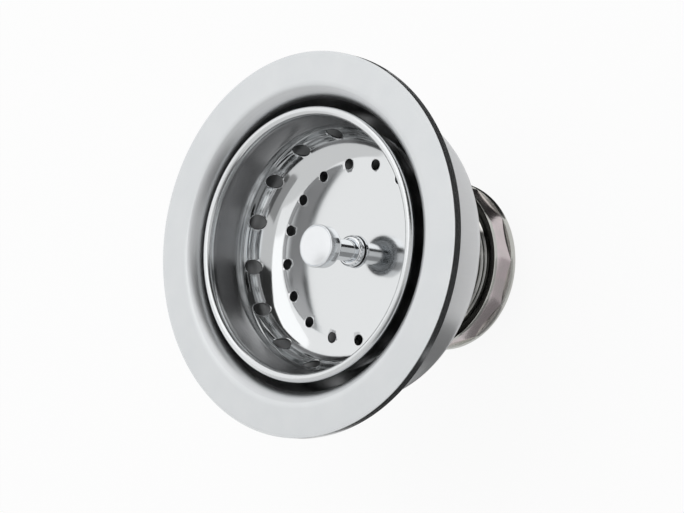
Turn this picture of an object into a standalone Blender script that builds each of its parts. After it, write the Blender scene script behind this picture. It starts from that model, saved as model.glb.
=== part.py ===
"""Kitchen-sink basket strainer: flange and bowl, clamp cup, two nuts and a lift-out perforated basket.

Lengths are in metres, +Z is up and the strainer's axis is the Z axis. The model stands on the coupling nut.
Outlines are drawn as (radius, depth) points, with depth measured down from the flange's face.
"""

import math

import bmesh
import bpy
from mathutils import Matrix

MM = 0.001

# Flange and bowl, one stamping of stainless sheet
FLANGE_RADIUS = 57.15 * MM
FLANGE_WIDTH = 13.57 * MM
FLANGE_EDGE_DROP = 2.8 * MM
FLANGE_EDGE_ROUND = 1.2 * MM
LIP_ROUND = 3.6 * MM
BOWL_SHEET = 0.8 * MM
BOWL_WALL_DEPTH = 21.0 * MM
BOWL_CORNER_ROUND = 5.0 * MM
FUNNEL_SLOPE = math.radians(22)
THROAT_RADIUS = 20.0 * MM
THROAT_ROUND = 2.5 * MM
NECK_LENGTH = 8.0 * MM
FLANGE_GASKET_THICKNESS = 1.8 * MM

# Spigot for a 1-1/2 inch straight pipe thread, its seal and the bar that guides the post
SPIGOT_WALL = 2.5 * MM
SPIGOT_LEDGE_WIDTH = 0.9 * MM
SPIGOT_TAIL_LENGTH = 18.3 * MM
SPIGOT_CHAMFER = 0.8 * MM
NECK_SEAL_THICKNESS = 1.0 * MM
CROSSBAR_WIDTH = 9.0 * MM
CROSSBAR_THICKNESS = 1.8 * MM
CROSSBAR_HUB_RADIUS = 7.5 * MM
GROMMET_WALL = 0.9 * MM
GROMMET_FLANGE_WIDTH = 1.3 * MM
GROMMET_FLANGE_THICKNESS = 0.8 * MM

# Clamp under the sink: cup, gasket, friction washer and locknut
CUP_SHEET = 0.8 * MM
CUP_CLEARANCE = 0.6 * MM
CUP_CORNER_ROUND = 3.5 * MM
CUP_CORNER_DROP = 4.9 * MM
CUP_SEAT_DROP = 0.7 * MM
CUP_RIM_WIDTH = 6.0 * MM
CUP_RIM_ROUND = 1.0 * MM
CUP_SEAT_WIDTH = 4.4 * MM
SINK_SHEET_ROOM = 2.2 * MM
SINK_GASKET_THICKNESS = 3.0 * MM
FRICTION_WASHER_THICKNESS = 1.2 * MM
LOCKNUT_WALL = 3.6 * MM
LOCKNUT_HEIGHT = 8.0 * MM
LOCKNUT_LUG_COUNT = 6
LOCKNUT_LUG_WIDTH = 8.0 * MM
LOCKNUT_LUG_HEIGHT = 6.0 * MM
LOCKNUT_LUG_REACH = 2.6 * MM

# Coupling nut for the waste pipe, with flats sunk between two round collars
NUT_WALL = 2.95 * MM
NUT_HEIGHT = 11.0 * MM
NUT_FLAT_COUNT = 12
NUT_FLAT_DEPTH = 1.1 * MM
NUT_FRONT_COLLAR = 2.3 * MM
NUT_REAR_COLLAR = 2.8 * MM
NUT_ROUND = 0.6 * MM
NUT_LIP_THICKNESS = 2.0 * MM
NUT_CORNER_ANGLE = math.radians(9.7)
PIPE_FLANGE_ROOM = 2.2 * MM
SLIP_WASHER_THICKNESS = 2.2 * MM

# Basket, one stamping with a curled rim, a step in its wall and a rounded lower part
BASKET_SHEET = 0.6 * MM
BASKET_RIM_CLEARANCE = 2.53 * MM
BASKET_RIM_DEPTH = 2.2 * MM
BASKET_BEAD_RADIUS = 1.3 * MM
BASKET_WALL_TAPER = 0.85 * MM
BASKET_STEP_IN = 1.2 * MM
BASKET_STEP_HEIGHT = 2.6 * MM
BASKET_BOWL_ROUND = 9.2 * MM
HOLE_COUNT = 16
HOLE_START_ANGLE = math.radians(15.3)
WALL_HOLE_HALF_WIDTH = 1.95 * MM
WALL_HOLE_HALF_LENGTH = 2.7 * MM
WALL_HOLE_TILT = math.radians(20)
FLOOR_HOLE_RADIUS = 1.65 * MM
FLOOR_HOLE_INSET = 0.25 * MM
BUSH_WALL = 0.6 * MM
BUSH_FLANGE_WIDTH = 1.1 * MM
BUSH_FLANGE_THICKNESS = 0.6 * MM

# Post with its knob and collar
POST_RADIUS = 3.05 * MM
POST_TIP_REACH = 5.0 * MM
POST_TIP_ROUND = 2.0 * MM
KNOB_RADIUS = 6.45 * MM
KNOB_TOP_DEPTH = 6.7 * MM
KNOB_DOME = 0.7 * MM
KNOB_CAP_EDGE = 0.5 * MM
KNOB_BODY_HEIGHT = 3.5 * MM
KNOB_ROUND = 0.6 * MM
KNOB_SOCKET_DEPTH = 2.4 * MM
COLLAR_WIDTH = 1.4 * MM
COLLAR_THICKNESS = 1.1 * MM
COLLAR_ROUND = 0.5 * MM

# Stopper, which seats in the funnel and carries the basket
STOPPER_SEAT_WIDTH = 3.5 * MM
STOPPER_EDGE_HEIGHT = 3.45 * MM
STOPPER_ROUND = 1.2 * MM
STOPPER_PLUG_LENGTH = 3.0 * MM
STOPPER_PLUG_TAPER = 1.0 * MM
STOPPER_WASHER_RADIUS = 17.0 * MM
STOPPER_WASHER_THICKNESS = 1.0 * MM
RETAINER_RADIUS = 11.0 * MM
RETAINER_THICKNESS = 1.0 * MM
STOPPER_NUT_RADIUS = 5.8 * MM
STOPPER_NUT_HEIGHT = 4.0 * MM
STOPPER_NUT_SIDES = 6

# Gaps between neighbours
SEAT_GAP = 0.3 * MM
RUN_GAP = 0.3 * MM
THREAD_GAP = 0.45 * MM

# Facets and reach of the cutters
BIG_STEPS = 32
SMALL_STEPS = 20
STEPS_PER_FLAT = 3
HOLE_SIDES = 10
CUT_REACH = 3.0 * MM


def arc(center, radius, start, end, spans):
    """Points of an arc in (radius, depth). Angle 0 points outwards and 90 degrees points down."""
    points = []
    for i in range(spans + 1):
        angle = math.radians(start + (end - start) * i / spans)
        points.append((center[0] + radius * math.cos(angle), center[1] + radius * math.sin(angle)))
    return points


def sheet_outline(path, thickness):
    """Closed outline of a sheet: its drawn face and the other face, which lies below it or outside it."""
    normals = []
    for (r0, d0), (r1, d1) in zip(path, path[1:]):
        length = math.hypot(r1 - r0, d1 - d0)
        normals.append(((d1 - d0) / length, (r0 - r1) / length))
    other_face = []
    for i, (r, d) in enumerate(path):
        before = normals[max(i - 1, 0)]
        after = normals[min(i, len(normals) - 1)]
        reach = thickness / (1 + before[0] * after[0] + before[1] * after[1])
        other_face.append((r + reach * (before[0] + after[0]), d + reach * (before[1] + after[1])))
    return path + other_face[::-1]


def ring_outline(inner, outer, top, bottom):
    return [(inner, top), (outer, top), (outer, bottom), (inner, bottom)]


def tangent_slope(point, center, radius):
    """Slope of the line that rises outwards from a point and touches the underside of a circle."""
    across = center[0] - point[0]
    down = point[1] - center[1]
    return math.atan2(down, across) - math.asin(radius / math.hypot(across, down))


# Radii that follow from the sizes above
BOWL_RADIUS = FLANGE_RADIUS - FLANGE_WIDTH
BOWL_OUTER = BOWL_RADIUS + BOWL_SHEET
NECK_OUTER = THROAT_RADIUS + BOWL_SHEET
COUNTERBORE_RADIUS = NECK_OUTER + SEAT_GAP
SPIGOT_RADIUS = COUNTERBORE_RADIUS + SPIGOT_WALL
SPIGOT_BORE_RADIUS = COUNTERBORE_RADIUS - SPIGOT_LEDGE_WIDTH
THREAD_HOLE_RADIUS = SPIGOT_RADIUS + THREAD_GAP
NUT_RADIUS = THREAD_HOLE_RADIUS + NUT_WALL
POST_HOLE_RADIUS = POST_RADIUS + RUN_GAP
CUP_INNER = BOWL_OUTER + CUP_CLEARANCE
CUP_RIM_RADIUS = CUP_INNER + CUP_SHEET + CUP_RIM_WIDTH
CUP_SEAT_RADIUS = THREAD_HOLE_RADIUS + CUP_SEAT_WIDTH
LOCKNUT_RADIUS = THREAD_HOLE_RADIUS + LOCKNUT_WALL
GROMMET_RADIUS = POST_HOLE_RADIUS + GROMMET_WALL
BUSH_RADIUS = POST_HOLE_RADIUS + BUSH_WALL
BASKET_RIM_RADIUS = BOWL_RADIUS - BASKET_RIM_CLEARANCE
BASKET_WALL_TOP_RADIUS = BASKET_RIM_RADIUS - 2 * BASKET_BEAD_RADIUS
BASKET_WALL_RADIUS = BASKET_WALL_TOP_RADIUS - BASKET_WALL_TAPER
BASKET_BOWL_RADIUS = BASKET_WALL_RADIUS - BASKET_STEP_IN
BASKET_FLOOR_RADIUS = BASKET_BOWL_RADIUS - BASKET_BOWL_ROUND

# The funnel of the bowl
FUNNEL_START_RADIUS = BOWL_RADIUS - BOWL_CORNER_ROUND * (1 - math.sin(FUNNEL_SLOPE))
FUNNEL_START_DEPTH = BOWL_WALL_DEPTH + BOWL_CORNER_ROUND * math.cos(FUNNEL_SLOPE)
THROAT_CENTER_RADIUS = THROAT_RADIUS + THROAT_ROUND
FUNNEL_END_RADIUS = THROAT_CENTER_RADIUS - THROAT_ROUND * math.sin(FUNNEL_SLOPE)
STOPPER_RADIUS = THROAT_CENTER_RADIUS + STOPPER_SEAT_WIDTH
FUNNEL_SEAT_GAP = SEAT_GAP / math.cos(FUNNEL_SLOPE)


def funnel_depth(radius):
    return FUNNEL_START_DEPTH + (FUNNEL_START_RADIUS - radius) * math.tan(FUNNEL_SLOPE)


# Depths from the funnel down to the bottom of the coupling nut
FUNNEL_END_DEPTH = funnel_depth(FUNNEL_END_RADIUS)
THROAT_DEPTH = FUNNEL_END_DEPTH + THROAT_ROUND * math.cos(FUNNEL_SLOPE)
NECK_END = THROAT_DEPTH + NECK_LENGTH
NECK_SEAL_TOP = FUNNEL_END_DEPTH + BOWL_SHEET / math.cos(FUNNEL_SLOPE) + SEAT_GAP
NECK_SEAL_BOTTOM = NECK_SEAL_TOP + NECK_SEAL_THICKNESS
SPIGOT_TOP = NECK_SEAL_BOTTOM + SEAT_GAP
CROSSBAR_TOP = NECK_END + SEAT_GAP
CROSSBAR_BOTTOM = CROSSBAR_TOP + CROSSBAR_THICKNESS
LEDGE_DEPTH = CROSSBAR_BOTTOM + SEAT_GAP
SPIGOT_END = LEDGE_DEPTH + SPIGOT_TAIL_LENGTH
SLIP_WASHER_TOP = SPIGOT_END + PIPE_FLANGE_ROOM
SLIP_WASHER_BOTTOM = SLIP_WASHER_TOP + SLIP_WASHER_THICKNESS
NUT_LIP_TOP = SLIP_WASHER_BOTTOM + SEAT_GAP
NUT_BOTTOM = NUT_LIP_TOP + NUT_LIP_THICKNESS
NUT_TOP = NUT_BOTTOM - NUT_HEIGHT

# Depths of the clamp
FLANGE_GASKET_TOP = BOWL_SHEET + SEAT_GAP
FLANGE_GASKET_BOTTOM = FLANGE_GASKET_TOP + FLANGE_GASKET_THICKNESS
SINK_GASKET_TOP = max(FLANGE_EDGE_DROP, FLANGE_GASKET_BOTTOM) + SINK_SHEET_ROOM
SINK_GASKET_BOTTOM = SINK_GASKET_TOP + SINK_GASKET_THICKNESS
CUP_RIM_DEPTH = SINK_GASKET_BOTTOM + SEAT_GAP
CUP_CORNER_DEPTH = BOWL_WALL_DEPTH + CUP_CORNER_DROP
CUP_SEAT_DEPTH = SPIGOT_TOP + CUP_SEAT_DROP
FRICTION_WASHER_TOP = CUP_SEAT_DEPTH + CUP_SHEET + SEAT_GAP
FRICTION_WASHER_BOTTOM = FRICTION_WASHER_TOP + FRICTION_WASHER_THICKNESS
LOCKNUT_TOP = FRICTION_WASHER_BOTTOM + SEAT_GAP
LOCKNUT_BOTTOM = LOCKNUT_TOP + LOCKNUT_HEIGHT

# Depths of the stopper, the basket that rests on it and the post, from the funnel up
STOPPER_EDGE_BOTTOM = funnel_depth(STOPPER_RADIUS) - FUNNEL_SEAT_GAP
STOPPER_TOP = STOPPER_EDGE_BOTTOM - STOPPER_EDGE_HEIGHT
STOPPER_WASHER_BOTTOM = STOPPER_TOP - SEAT_GAP
STOPPER_WASHER_TOP = STOPPER_WASHER_BOTTOM - STOPPER_WASHER_THICKNESS
BUSH_BOTTOM = STOPPER_WASHER_TOP - SEAT_GAP
BUSH_FLANGE_TOP = BUSH_BOTTOM - BUSH_FLANGE_THICKNESS
FLOOR_BOTTOM = BUSH_FLANGE_TOP - SEAT_GAP
BASKET_FLOOR_DEPTH = FLOOR_BOTTOM - BASKET_SHEET
BASKET_BOWL_DEPTH = BASKET_FLOOR_DEPTH - BASKET_BOWL_ROUND
BASKET_STEP_DEPTH = BASKET_BOWL_DEPTH - BASKET_STEP_HEIGHT
COLLAR_BOTTOM = BASKET_FLOOR_DEPTH - SEAT_GAP
COLLAR_TOP = COLLAR_BOTTOM - COLLAR_THICKNESS
STOPPER_BOTTOM = FUNNEL_END_DEPTH + STOPPER_PLUG_LENGTH
RETAINER_TOP = STOPPER_BOTTOM + SEAT_GAP
RETAINER_BOTTOM = RETAINER_TOP + RETAINER_THICKNESS
STOPPER_NUT_TOP = RETAINER_BOTTOM + SEAT_GAP
STOPPER_NUT_BOTTOM = STOPPER_NUT_TOP + STOPPER_NUT_HEIGHT
KNOB_CAP_BOTTOM = KNOB_TOP_DEPTH + KNOB_DOME + KNOB_CAP_EDGE
KNOB_BODY_TOP = KNOB_CAP_BOTTOM + SEAT_GAP
KNOB_BODY_BOTTOM = KNOB_BODY_TOP + KNOB_BODY_HEIGHT
KNOB_SOCKET_TOP = KNOB_BODY_BOTTOM - KNOB_SOCKET_DEPTH
POST_TIP = LEDGE_DEPTH + POST_TIP_REACH


def level(depth):
    """Height above the bottom of the coupling nut."""
    return NUT_BOTTOM - depth


def new_collection(name):
    made = bpy.data.collections.new(name)
    bpy.context.scene.collection.children.link(made)
    return made


def finish(name, color, roughness, metallic):
    """A Principled material. The colour is linear."""
    material = bpy.data.materials.new(name)
    material.use_nodes = True
    shader = material.node_tree.nodes["Principled BSDF"]
    shader.inputs["Base Color"].default_value = (*color, 1.0)
    shader.inputs["Roughness"].default_value = roughness
    shader.inputs["Metallic"].default_value = metallic
    material.diffuse_color = (*color, 1.0)
    return material


def add_object(name, mesh, material, into):
    mesh.materials.append(material)
    obj = bpy.data.objects.new(name, mesh)
    into.objects.link(obj)
    return obj


def turned(name, outline, material, steps=BIG_STEPS, closed=True, into=None):
    """Turns an outline about the axis. A closed one makes a ring, an open one starts and ends on the axis."""
    points = [(r, 0.0, level(d)) for r, d in outline]
    area = sum(a[0] * b[2] - b[0] * a[2] for a, b in zip(points, points[1:] + points[:1]))
    if area > 0:
        points.reverse()
    edges = [(i, i + 1) for i in range(len(points) - 1)]
    if closed:
        edges.append((len(points) - 1, 0))
    mesh = bpy.data.meshes.new(name)
    mesh.from_pydata(points, edges, [])
    obj = add_object(name, mesh, material, into or PARTS)
    screw = obj.modifiers.new("turn", "SCREW")
    screw.steps = steps
    screw.render_steps = steps
    screw.use_merge_vertices = True
    screw.merge_threshold = 0.01 * MM
    return obj


def add_cylinder(shape, matrix, sides):
    """A cylinder of radius 1 that reaches 1 each way along Z, put in place by a matrix."""
    bmesh.ops.create_cone(
        shape, cap_ends=True, segments=sides, radius1=1.0, radius2=1.0, depth=2.0, matrix=matrix
    )


def block_between(radius, top, bottom):
    """Matrix of an upright cylinder on the axis, from one depth to another."""
    center = Matrix.Translation((0, 0, level((top + bottom) / 2)))
    return center @ Matrix.Diagonal((radius, radius, (bottom - top) / 2, 1))


def solid(name, shape, material, into):
    mesh = bpy.data.meshes.new(name)
    shape.to_mesh(mesh)
    shape.free()
    return add_object(name, mesh, material, into)


def boolean(obj, other, operation):
    """Joins or cuts with a helper, which stays out of the render."""
    other.hide_render = True
    other.display_type = "WIRE"
    modifier = obj.modifiers.new(other.name, "BOOLEAN")
    modifier.operation = operation
    modifier.solver = "EXACT"
    modifier.object = other


def axis_of(name, children, parent=None):
    """An empty on the strainer's axis that carries the pieces of one moving body."""
    empty = bpy.data.objects.new(name, None)
    PARTS.objects.link(empty)
    empty.empty_display_size = KNOB_RADIUS
    empty.parent = parent
    for child in children:
        child.parent = empty
    return empty


def make_flange_bowl():
    """Flange with a turned-down edge, rounded lip, straight wall, funnel and neck."""
    slope = math.degrees(FUNNEL_SLOPE)
    edge_center = (FLANGE_RADIUS - FLANGE_EDGE_ROUND, FLANGE_EDGE_ROUND)
    lip_center = (BOWL_RADIUS + LIP_ROUND, LIP_ROUND)
    corner_center = (BOWL_RADIUS - BOWL_CORNER_ROUND, BOWL_WALL_DEPTH)
    path = [(FLANGE_RADIUS, FLANGE_EDGE_DROP)]
    path += arc(edge_center, FLANGE_EDGE_ROUND, 0, -90, 2)
    path += arc(lip_center, LIP_ROUND, 270, 180, 4)
    path += arc(corner_center, BOWL_CORNER_ROUND, 0, 90 - slope, 3)
    path += arc((THROAT_CENTER_RADIUS, THROAT_DEPTH), THROAT_ROUND, 270 - slope, 180, 2)
    path.append((THROAT_RADIUS, NECK_END))
    return turned("flange_bowl", sheet_outline(path, BOWL_SHEET), STEEL)


def make_flange_gasket():
    inner = BOWL_RADIUS + LIP_ROUND
    outer = FLANGE_RADIUS - FLANGE_EDGE_ROUND - BOWL_SHEET - SEAT_GAP
    outline = ring_outline(inner, outer, FLANGE_GASKET_TOP, FLANGE_GASKET_BOTTOM)
    return turned("flange_gasket", outline, RUBBER)


def make_spigot():
    """A tube with a counterbore for the bowl's neck and a ledge for the crossbar."""
    outline = [
        (COUNTERBORE_RADIUS, SPIGOT_TOP),
        (SPIGOT_RADIUS, SPIGOT_TOP),
        (SPIGOT_RADIUS, SPIGOT_END - SPIGOT_CHAMFER),
        (SPIGOT_RADIUS - SPIGOT_CHAMFER, SPIGOT_END),
        (SPIGOT_BORE_RADIUS, SPIGOT_END),
        (SPIGOT_BORE_RADIUS, LEDGE_DEPTH),
        (COUNTERBORE_RADIUS, LEDGE_DEPTH),
    ]
    return turned("threaded_spigot", outline, CHROME)


def make_neck_seal():
    outline = ring_outline(THROAT_CENTER_RADIUS, SPIGOT_RADIUS, NECK_SEAL_TOP, NECK_SEAL_BOTTOM)
    return turned("neck_seal", outline, RUBBER)


def make_crossbar():
    """A flat bar with a round hub, held between the bowl's neck and the spigot's ledge."""
    reach = math.sqrt((COUNTERBORE_RADIUS - SEAT_GAP) ** 2 - (CROSSBAR_WIDTH / 2) ** 2)
    middle = Matrix.Translation((0, 0, level((CROSSBAR_TOP + CROSSBAR_BOTTOM) / 2)))
    shape = bmesh.new()
    size = Matrix.Diagonal((2 * reach, CROSSBAR_WIDTH, CROSSBAR_THICKNESS, 1))
    bmesh.ops.create_cube(shape, size=1.0, matrix=middle @ size)
    bar = solid("post_crossbar", shape, STEEL, PARTS)
    shape = bmesh.new()
    add_cylinder(shape, block_between(CROSSBAR_HUB_RADIUS, CROSSBAR_TOP, CROSSBAR_BOTTOM), SMALL_STEPS)
    boolean(bar, solid("crossbar_hub", shape, STEEL, CUTTERS), "UNION")
    shape = bmesh.new()
    through = block_between(GROMMET_RADIUS + SEAT_GAP, CROSSBAR_TOP - CUT_REACH, CROSSBAR_BOTTOM + CUT_REACH)
    add_cylinder(shape, through, SMALL_STEPS)
    boolean(bar, solid("crossbar_hole", shape, STEEL, CUTTERS), "DIFFERENCE")
    return bar


def make_grommet():
    """A flanged rubber bush in the crossbar that guides the post."""
    flange_radius = GROMMET_RADIUS + GROMMET_FLANGE_WIDTH
    flange_bottom = CROSSBAR_TOP - SEAT_GAP
    flange_top = flange_bottom - GROMMET_FLANGE_THICKNESS
    outline = [
        (POST_HOLE_RADIUS, flange_top),
        (flange_radius, flange_top),
        (flange_radius, flange_bottom),
        (GROMMET_RADIUS, flange_bottom),
        (GROMMET_RADIUS, CROSSBAR_BOTTOM),
        (POST_HOLE_RADIUS, CROSSBAR_BOTTOM),
    ]
    return turned("post_grommet", outline, RUBBER, SMALL_STEPS)


def make_outer_cup():
    """Rim turned out under the gasket, straight wall, cone and a flat seat for the locknut."""
    corner_round = CUP_CORNER_ROUND - CUP_SHEET
    corner_center = (CUP_INNER - corner_round, CUP_CORNER_DEPTH)
    rim_round = CUP_RIM_ROUND + CUP_SHEET
    rim_center = (CUP_INNER + rim_round, CUP_RIM_DEPTH + rim_round)
    seat = (CUP_SEAT_RADIUS, CUP_SEAT_DEPTH)
    slope = math.degrees(tangent_slope(seat, corner_center, corner_round))
    path = [(CUP_RIM_RADIUS, CUP_RIM_DEPTH)]
    path += arc(rim_center, rim_round, 270, 180, 3)
    path += arc(corner_center, corner_round, 0, 90 - slope, 3)
    path += [seat, (THREAD_HOLE_RADIUS, CUP_SEAT_DEPTH)]
    return turned("outer_cup", sheet_outline(path, CUP_SHEET), STEEL)


def make_sink_gasket():
    outline = ring_outline(CUP_INNER, CUP_RIM_RADIUS, SINK_GASKET_TOP, SINK_GASKET_BOTTOM)
    return turned("sink_gasket", outline, RUBBER)


def make_friction_washer():
    outline = ring_outline(THREAD_HOLE_RADIUS, CUP_SEAT_RADIUS, FRICTION_WASHER_TOP, FRICTION_WASHER_BOTTOM)
    return turned("friction_washer", outline, FIBRE)


def make_locknut():
    """A cast ring with lugs for a spanner."""
    outline = ring_outline(THREAD_HOLE_RADIUS, LOCKNUT_RADIUS, LOCKNUT_TOP, LOCKNUT_BOTTOM)
    nut = turned("clamp_locknut", outline, ZINC)
    root = (THREAD_HOLE_RADIUS + LOCKNUT_RADIUS) / 2
    tip = LOCKNUT_RADIUS + LOCKNUT_LUG_REACH
    place = Matrix.Translation(((root + tip) / 2, 0, level((LOCKNUT_TOP + LOCKNUT_BOTTOM) / 2)))
    size = Matrix.Diagonal((tip - root, LOCKNUT_LUG_WIDTH, LOCKNUT_LUG_HEIGHT, 1))
    shape = bmesh.new()
    for i in range(LOCKNUT_LUG_COUNT):
        turn = Matrix.Rotation(2 * math.pi * i / LOCKNUT_LUG_COUNT, 4, "Z")
        bmesh.ops.create_cube(shape, size=1.0, matrix=turn @ place @ size)
    boolean(nut, solid("locknut_lugs", shape, ZINC, CUTTERS), "UNION")
    return nut


def make_slip_washer():
    outer = SPIGOT_RADIUS - SPIGOT_CHAMFER
    outline = ring_outline(SPIGOT_BORE_RADIUS, outer, SLIP_WASHER_TOP, SLIP_WASHER_BOTTOM)
    return turned("slip_washer", outline, NYLON)


def make_coupling_nut():
    """A cast nut whose flats are sunk between a front and a rear collar, with an inner lip at the rear."""
    edge = NUT_RADIUS - NUT_ROUND
    outline = [(THREAD_HOLE_RADIUS, NUT_TOP)]
    outline += arc((edge, NUT_TOP + NUT_ROUND), NUT_ROUND, 270, 360, 2)
    outline += arc((edge, NUT_BOTTOM - NUT_ROUND), NUT_ROUND, 0, 90, 2)
    outline += [
        (SPIGOT_BORE_RADIUS, NUT_BOTTOM),
        (SPIGOT_BORE_RADIUS, NUT_LIP_TOP),
        (THREAD_HOLE_RADIUS, NUT_LIP_TOP),
    ]
    nut = turned("coupling_nut", outline, ZINC, STEPS_PER_FLAT * NUT_FLAT_COUNT)
    corner = (NUT_RADIUS - NUT_FLAT_DEPTH) / math.cos(math.pi / NUT_FLAT_COUNT)
    top, bottom = NUT_TOP + NUT_FRONT_COLLAR, NUT_BOTTOM - NUT_REAR_COLLAR
    band = ring_outline(corner, NUT_RADIUS + CUT_REACH, top, bottom)
    cutter = turned("nut_flats", band, ZINC, NUT_FLAT_COUNT, into=CUTTERS)
    nut.rotation_euler.z = NUT_CORNER_ANGLE
    cutter.rotation_euler.z = NUT_CORNER_ANGLE
    boolean(nut, cutter, "DIFFERENCE")
    return nut


def basket_path():
    """Inner face of the basket: curled rim, wall, step, rounded lower part and flat floor."""
    step_turn = 2 * math.atan2(BASKET_STEP_IN, BASKET_STEP_HEIGHT)
    step_round = BASKET_STEP_HEIGHT / (2 * math.sin(step_turn))
    turn = math.degrees(step_turn)
    bead_center = (BASKET_RIM_RADIUS - BASKET_BEAD_RADIUS, BASKET_RIM_DEPTH)
    path = arc(bead_center, BASKET_BEAD_RADIUS, 90, -180, 7)
    path += arc((BASKET_WALL_RADIUS - step_round, BASKET_STEP_DEPTH), step_round, 0, turn, 2)
    path += arc((BASKET_BOWL_RADIUS + step_round, BASKET_BOWL_DEPTH), step_round, 180 + turn, 180, 2)[1:]
    path += arc((BASKET_FLOOR_RADIUS, BASKET_BOWL_DEPTH), BASKET_BOWL_ROUND, 0, 90, 5)[1:]
    path.append((BUSH_RADIUS + SEAT_GAP, BASKET_FLOOR_DEPTH))
    return path


def make_basket_shell():
    """The perforated basket. Holes in the wall are longer than wide, because the sheet was pierced, then drawn."""
    shell = turned("basket_shell", sheet_outline(basket_path(), BASKET_SHEET), STEEL)
    wall_place = Matrix.Translation(
        (
            BASKET_FLOOR_RADIUS + BASKET_BOWL_ROUND * math.cos(WALL_HOLE_TILT),
            0,
            level(BASKET_BOWL_DEPTH + BASKET_BOWL_ROUND * math.sin(WALL_HOLE_TILT)),
        )
    )
    lean = Matrix.Rotation(math.pi / 2 + WALL_HOLE_TILT, 4, "Y")
    wall_size = Matrix.Diagonal((WALL_HOLE_HALF_LENGTH, WALL_HOLE_HALF_WIDTH, CUT_REACH, 1))
    floor_place = Matrix.Translation((BASKET_FLOOR_RADIUS - FLOOR_HOLE_INSET, 0, level(BASKET_FLOOR_DEPTH)))
    floor_size = Matrix.Diagonal((FLOOR_HOLE_RADIUS, FLOOR_HOLE_RADIUS, CUT_REACH, 1))
    shape = bmesh.new()
    for i in range(HOLE_COUNT):
        turn = Matrix.Rotation(HOLE_START_ANGLE + 2 * math.pi * i / HOLE_COUNT, 4, "Z")
        add_cylinder(shape, turn @ wall_place @ lean @ wall_size, HOLE_SIDES)
        add_cylinder(shape, turn @ floor_place @ floor_size, HOLE_SIDES)
    boolean(shell, solid("basket_holes", shape, STEEL, CUTTERS), "DIFFERENCE")
    return shell


def make_floor_bush():
    """A bush in the basket's floor, flanged below, in which the basket turns on the post."""
    flange_radius = BUSH_RADIUS + BUSH_FLANGE_WIDTH
    outline = [
        (POST_HOLE_RADIUS, BASKET_FLOOR_DEPTH),
        (BUSH_RADIUS, BASKET_FLOOR_DEPTH),
        (BUSH_RADIUS, BUSH_FLANGE_TOP),
        (flange_radius, BUSH_FLANGE_TOP),
        (flange_radius, BUSH_BOTTOM),
        (POST_HOLE_RADIUS, BUSH_BOTTOM),
    ]
    return turned("floor_bush", outline, NYLON, SMALL_STEPS)


def make_post():
    """A rod whose thinner top end sits in the knob, with a rounded tip."""
    tip_radius = POST_RADIUS - POST_TIP_ROUND
    stub_radius = POST_RADIUS - SEAT_GAP
    outline = [
        (0, KNOB_SOCKET_TOP + SEAT_GAP),
        (stub_radius, KNOB_SOCKET_TOP + SEAT_GAP),
        (stub_radius, KNOB_BODY_BOTTOM + SEAT_GAP),
        (POST_RADIUS, KNOB_BODY_BOTTOM + SEAT_GAP),
    ]
    outline += arc((tip_radius, POST_TIP - POST_TIP_ROUND), POST_TIP_ROUND, 0, 90, 3)
    outline.append((0, POST_TIP))
    return turned("post_shaft", outline, CHROME, SMALL_STEPS, closed=False)


def make_knob_body():
    """A short drum with a socket for the rod."""
    edge = KNOB_RADIUS - KNOB_ROUND
    outline = [(0, KNOB_BODY_TOP), (KNOB_RADIUS, KNOB_BODY_TOP)]
    outline += arc((edge, KNOB_BODY_BOTTOM - KNOB_ROUND), KNOB_ROUND, 0, 90, 3)
    outline += [
        (POST_RADIUS, KNOB_BODY_BOTTOM),
        (POST_RADIUS, KNOB_SOCKET_TOP),
        (0, KNOB_SOCKET_TOP),
    ]
    return turned("knob_body", outline, CHROME, SMALL_STEPS, closed=False)


def make_knob_cap():
    """A shallow dome over a short straight edge."""
    sphere = (KNOB_RADIUS**2 + KNOB_DOME**2) / (2 * KNOB_DOME)
    spread = math.degrees(math.asin(KNOB_RADIUS / sphere))
    outline = arc((0, KNOB_TOP_DEPTH + sphere), sphere, -90, spread - 90, 4)
    outline += [(KNOB_RADIUS, KNOB_CAP_BOTTOM), (0, KNOB_CAP_BOTTOM)]
    return turned("knob_cap", outline, CHROME, SMALL_STEPS, closed=False)


def make_collar():
    """A ring on the rod that keeps the basket down on the stopper."""
    edge = POST_HOLE_RADIUS + COLLAR_WIDTH - COLLAR_ROUND
    outline = [(POST_HOLE_RADIUS, COLLAR_TOP)]
    outline += arc((edge, COLLAR_TOP + COLLAR_ROUND), COLLAR_ROUND, 270, 360, 2)
    outline += [(edge + COLLAR_ROUND, COLLAR_BOTTOM), (POST_HOLE_RADIUS, COLLAR_BOTTOM)]
    return turned("post_collar", outline, CHROME, SMALL_STEPS)


def make_stopper_washer():
    outline = ring_outline(
        POST_HOLE_RADIUS, STOPPER_WASHER_RADIUS, STOPPER_WASHER_TOP, STOPPER_WASHER_BOTTOM
    )
    return turned("stopper_washer", outline, STEEL, SMALL_STEPS)


def make_stopper():
    """A rubber plug: a disc whose underside seats on the funnel, and a taper that enters the throat."""
    edge = STOPPER_RADIUS - STOPPER_ROUND
    plug_radius = THROAT_RADIUS - SEAT_GAP
    outline = [(POST_HOLE_RADIUS, STOPPER_TOP)]
    outline += arc((edge, STOPPER_TOP + STOPPER_ROUND), STOPPER_ROUND, 270, 360, 3)
    outline += [
        (STOPPER_RADIUS, STOPPER_EDGE_BOTTOM),
        (THROAT_CENTER_RADIUS, funnel_depth(THROAT_CENTER_RADIUS) - FUNNEL_SEAT_GAP),
        (plug_radius, funnel_depth(THROAT_CENTER_RADIUS)),
        (plug_radius - STOPPER_PLUG_TAPER, STOPPER_BOTTOM),
        (POST_HOLE_RADIUS, STOPPER_BOTTOM),
    ]
    return turned("rubber_stopper", outline, RUBBER)


def make_retainer():
    outline = ring_outline(POST_HOLE_RADIUS, RETAINER_RADIUS, RETAINER_TOP, RETAINER_BOTTOM)
    return turned("stopper_retainer", outline, STEEL, SMALL_STEPS)


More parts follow.
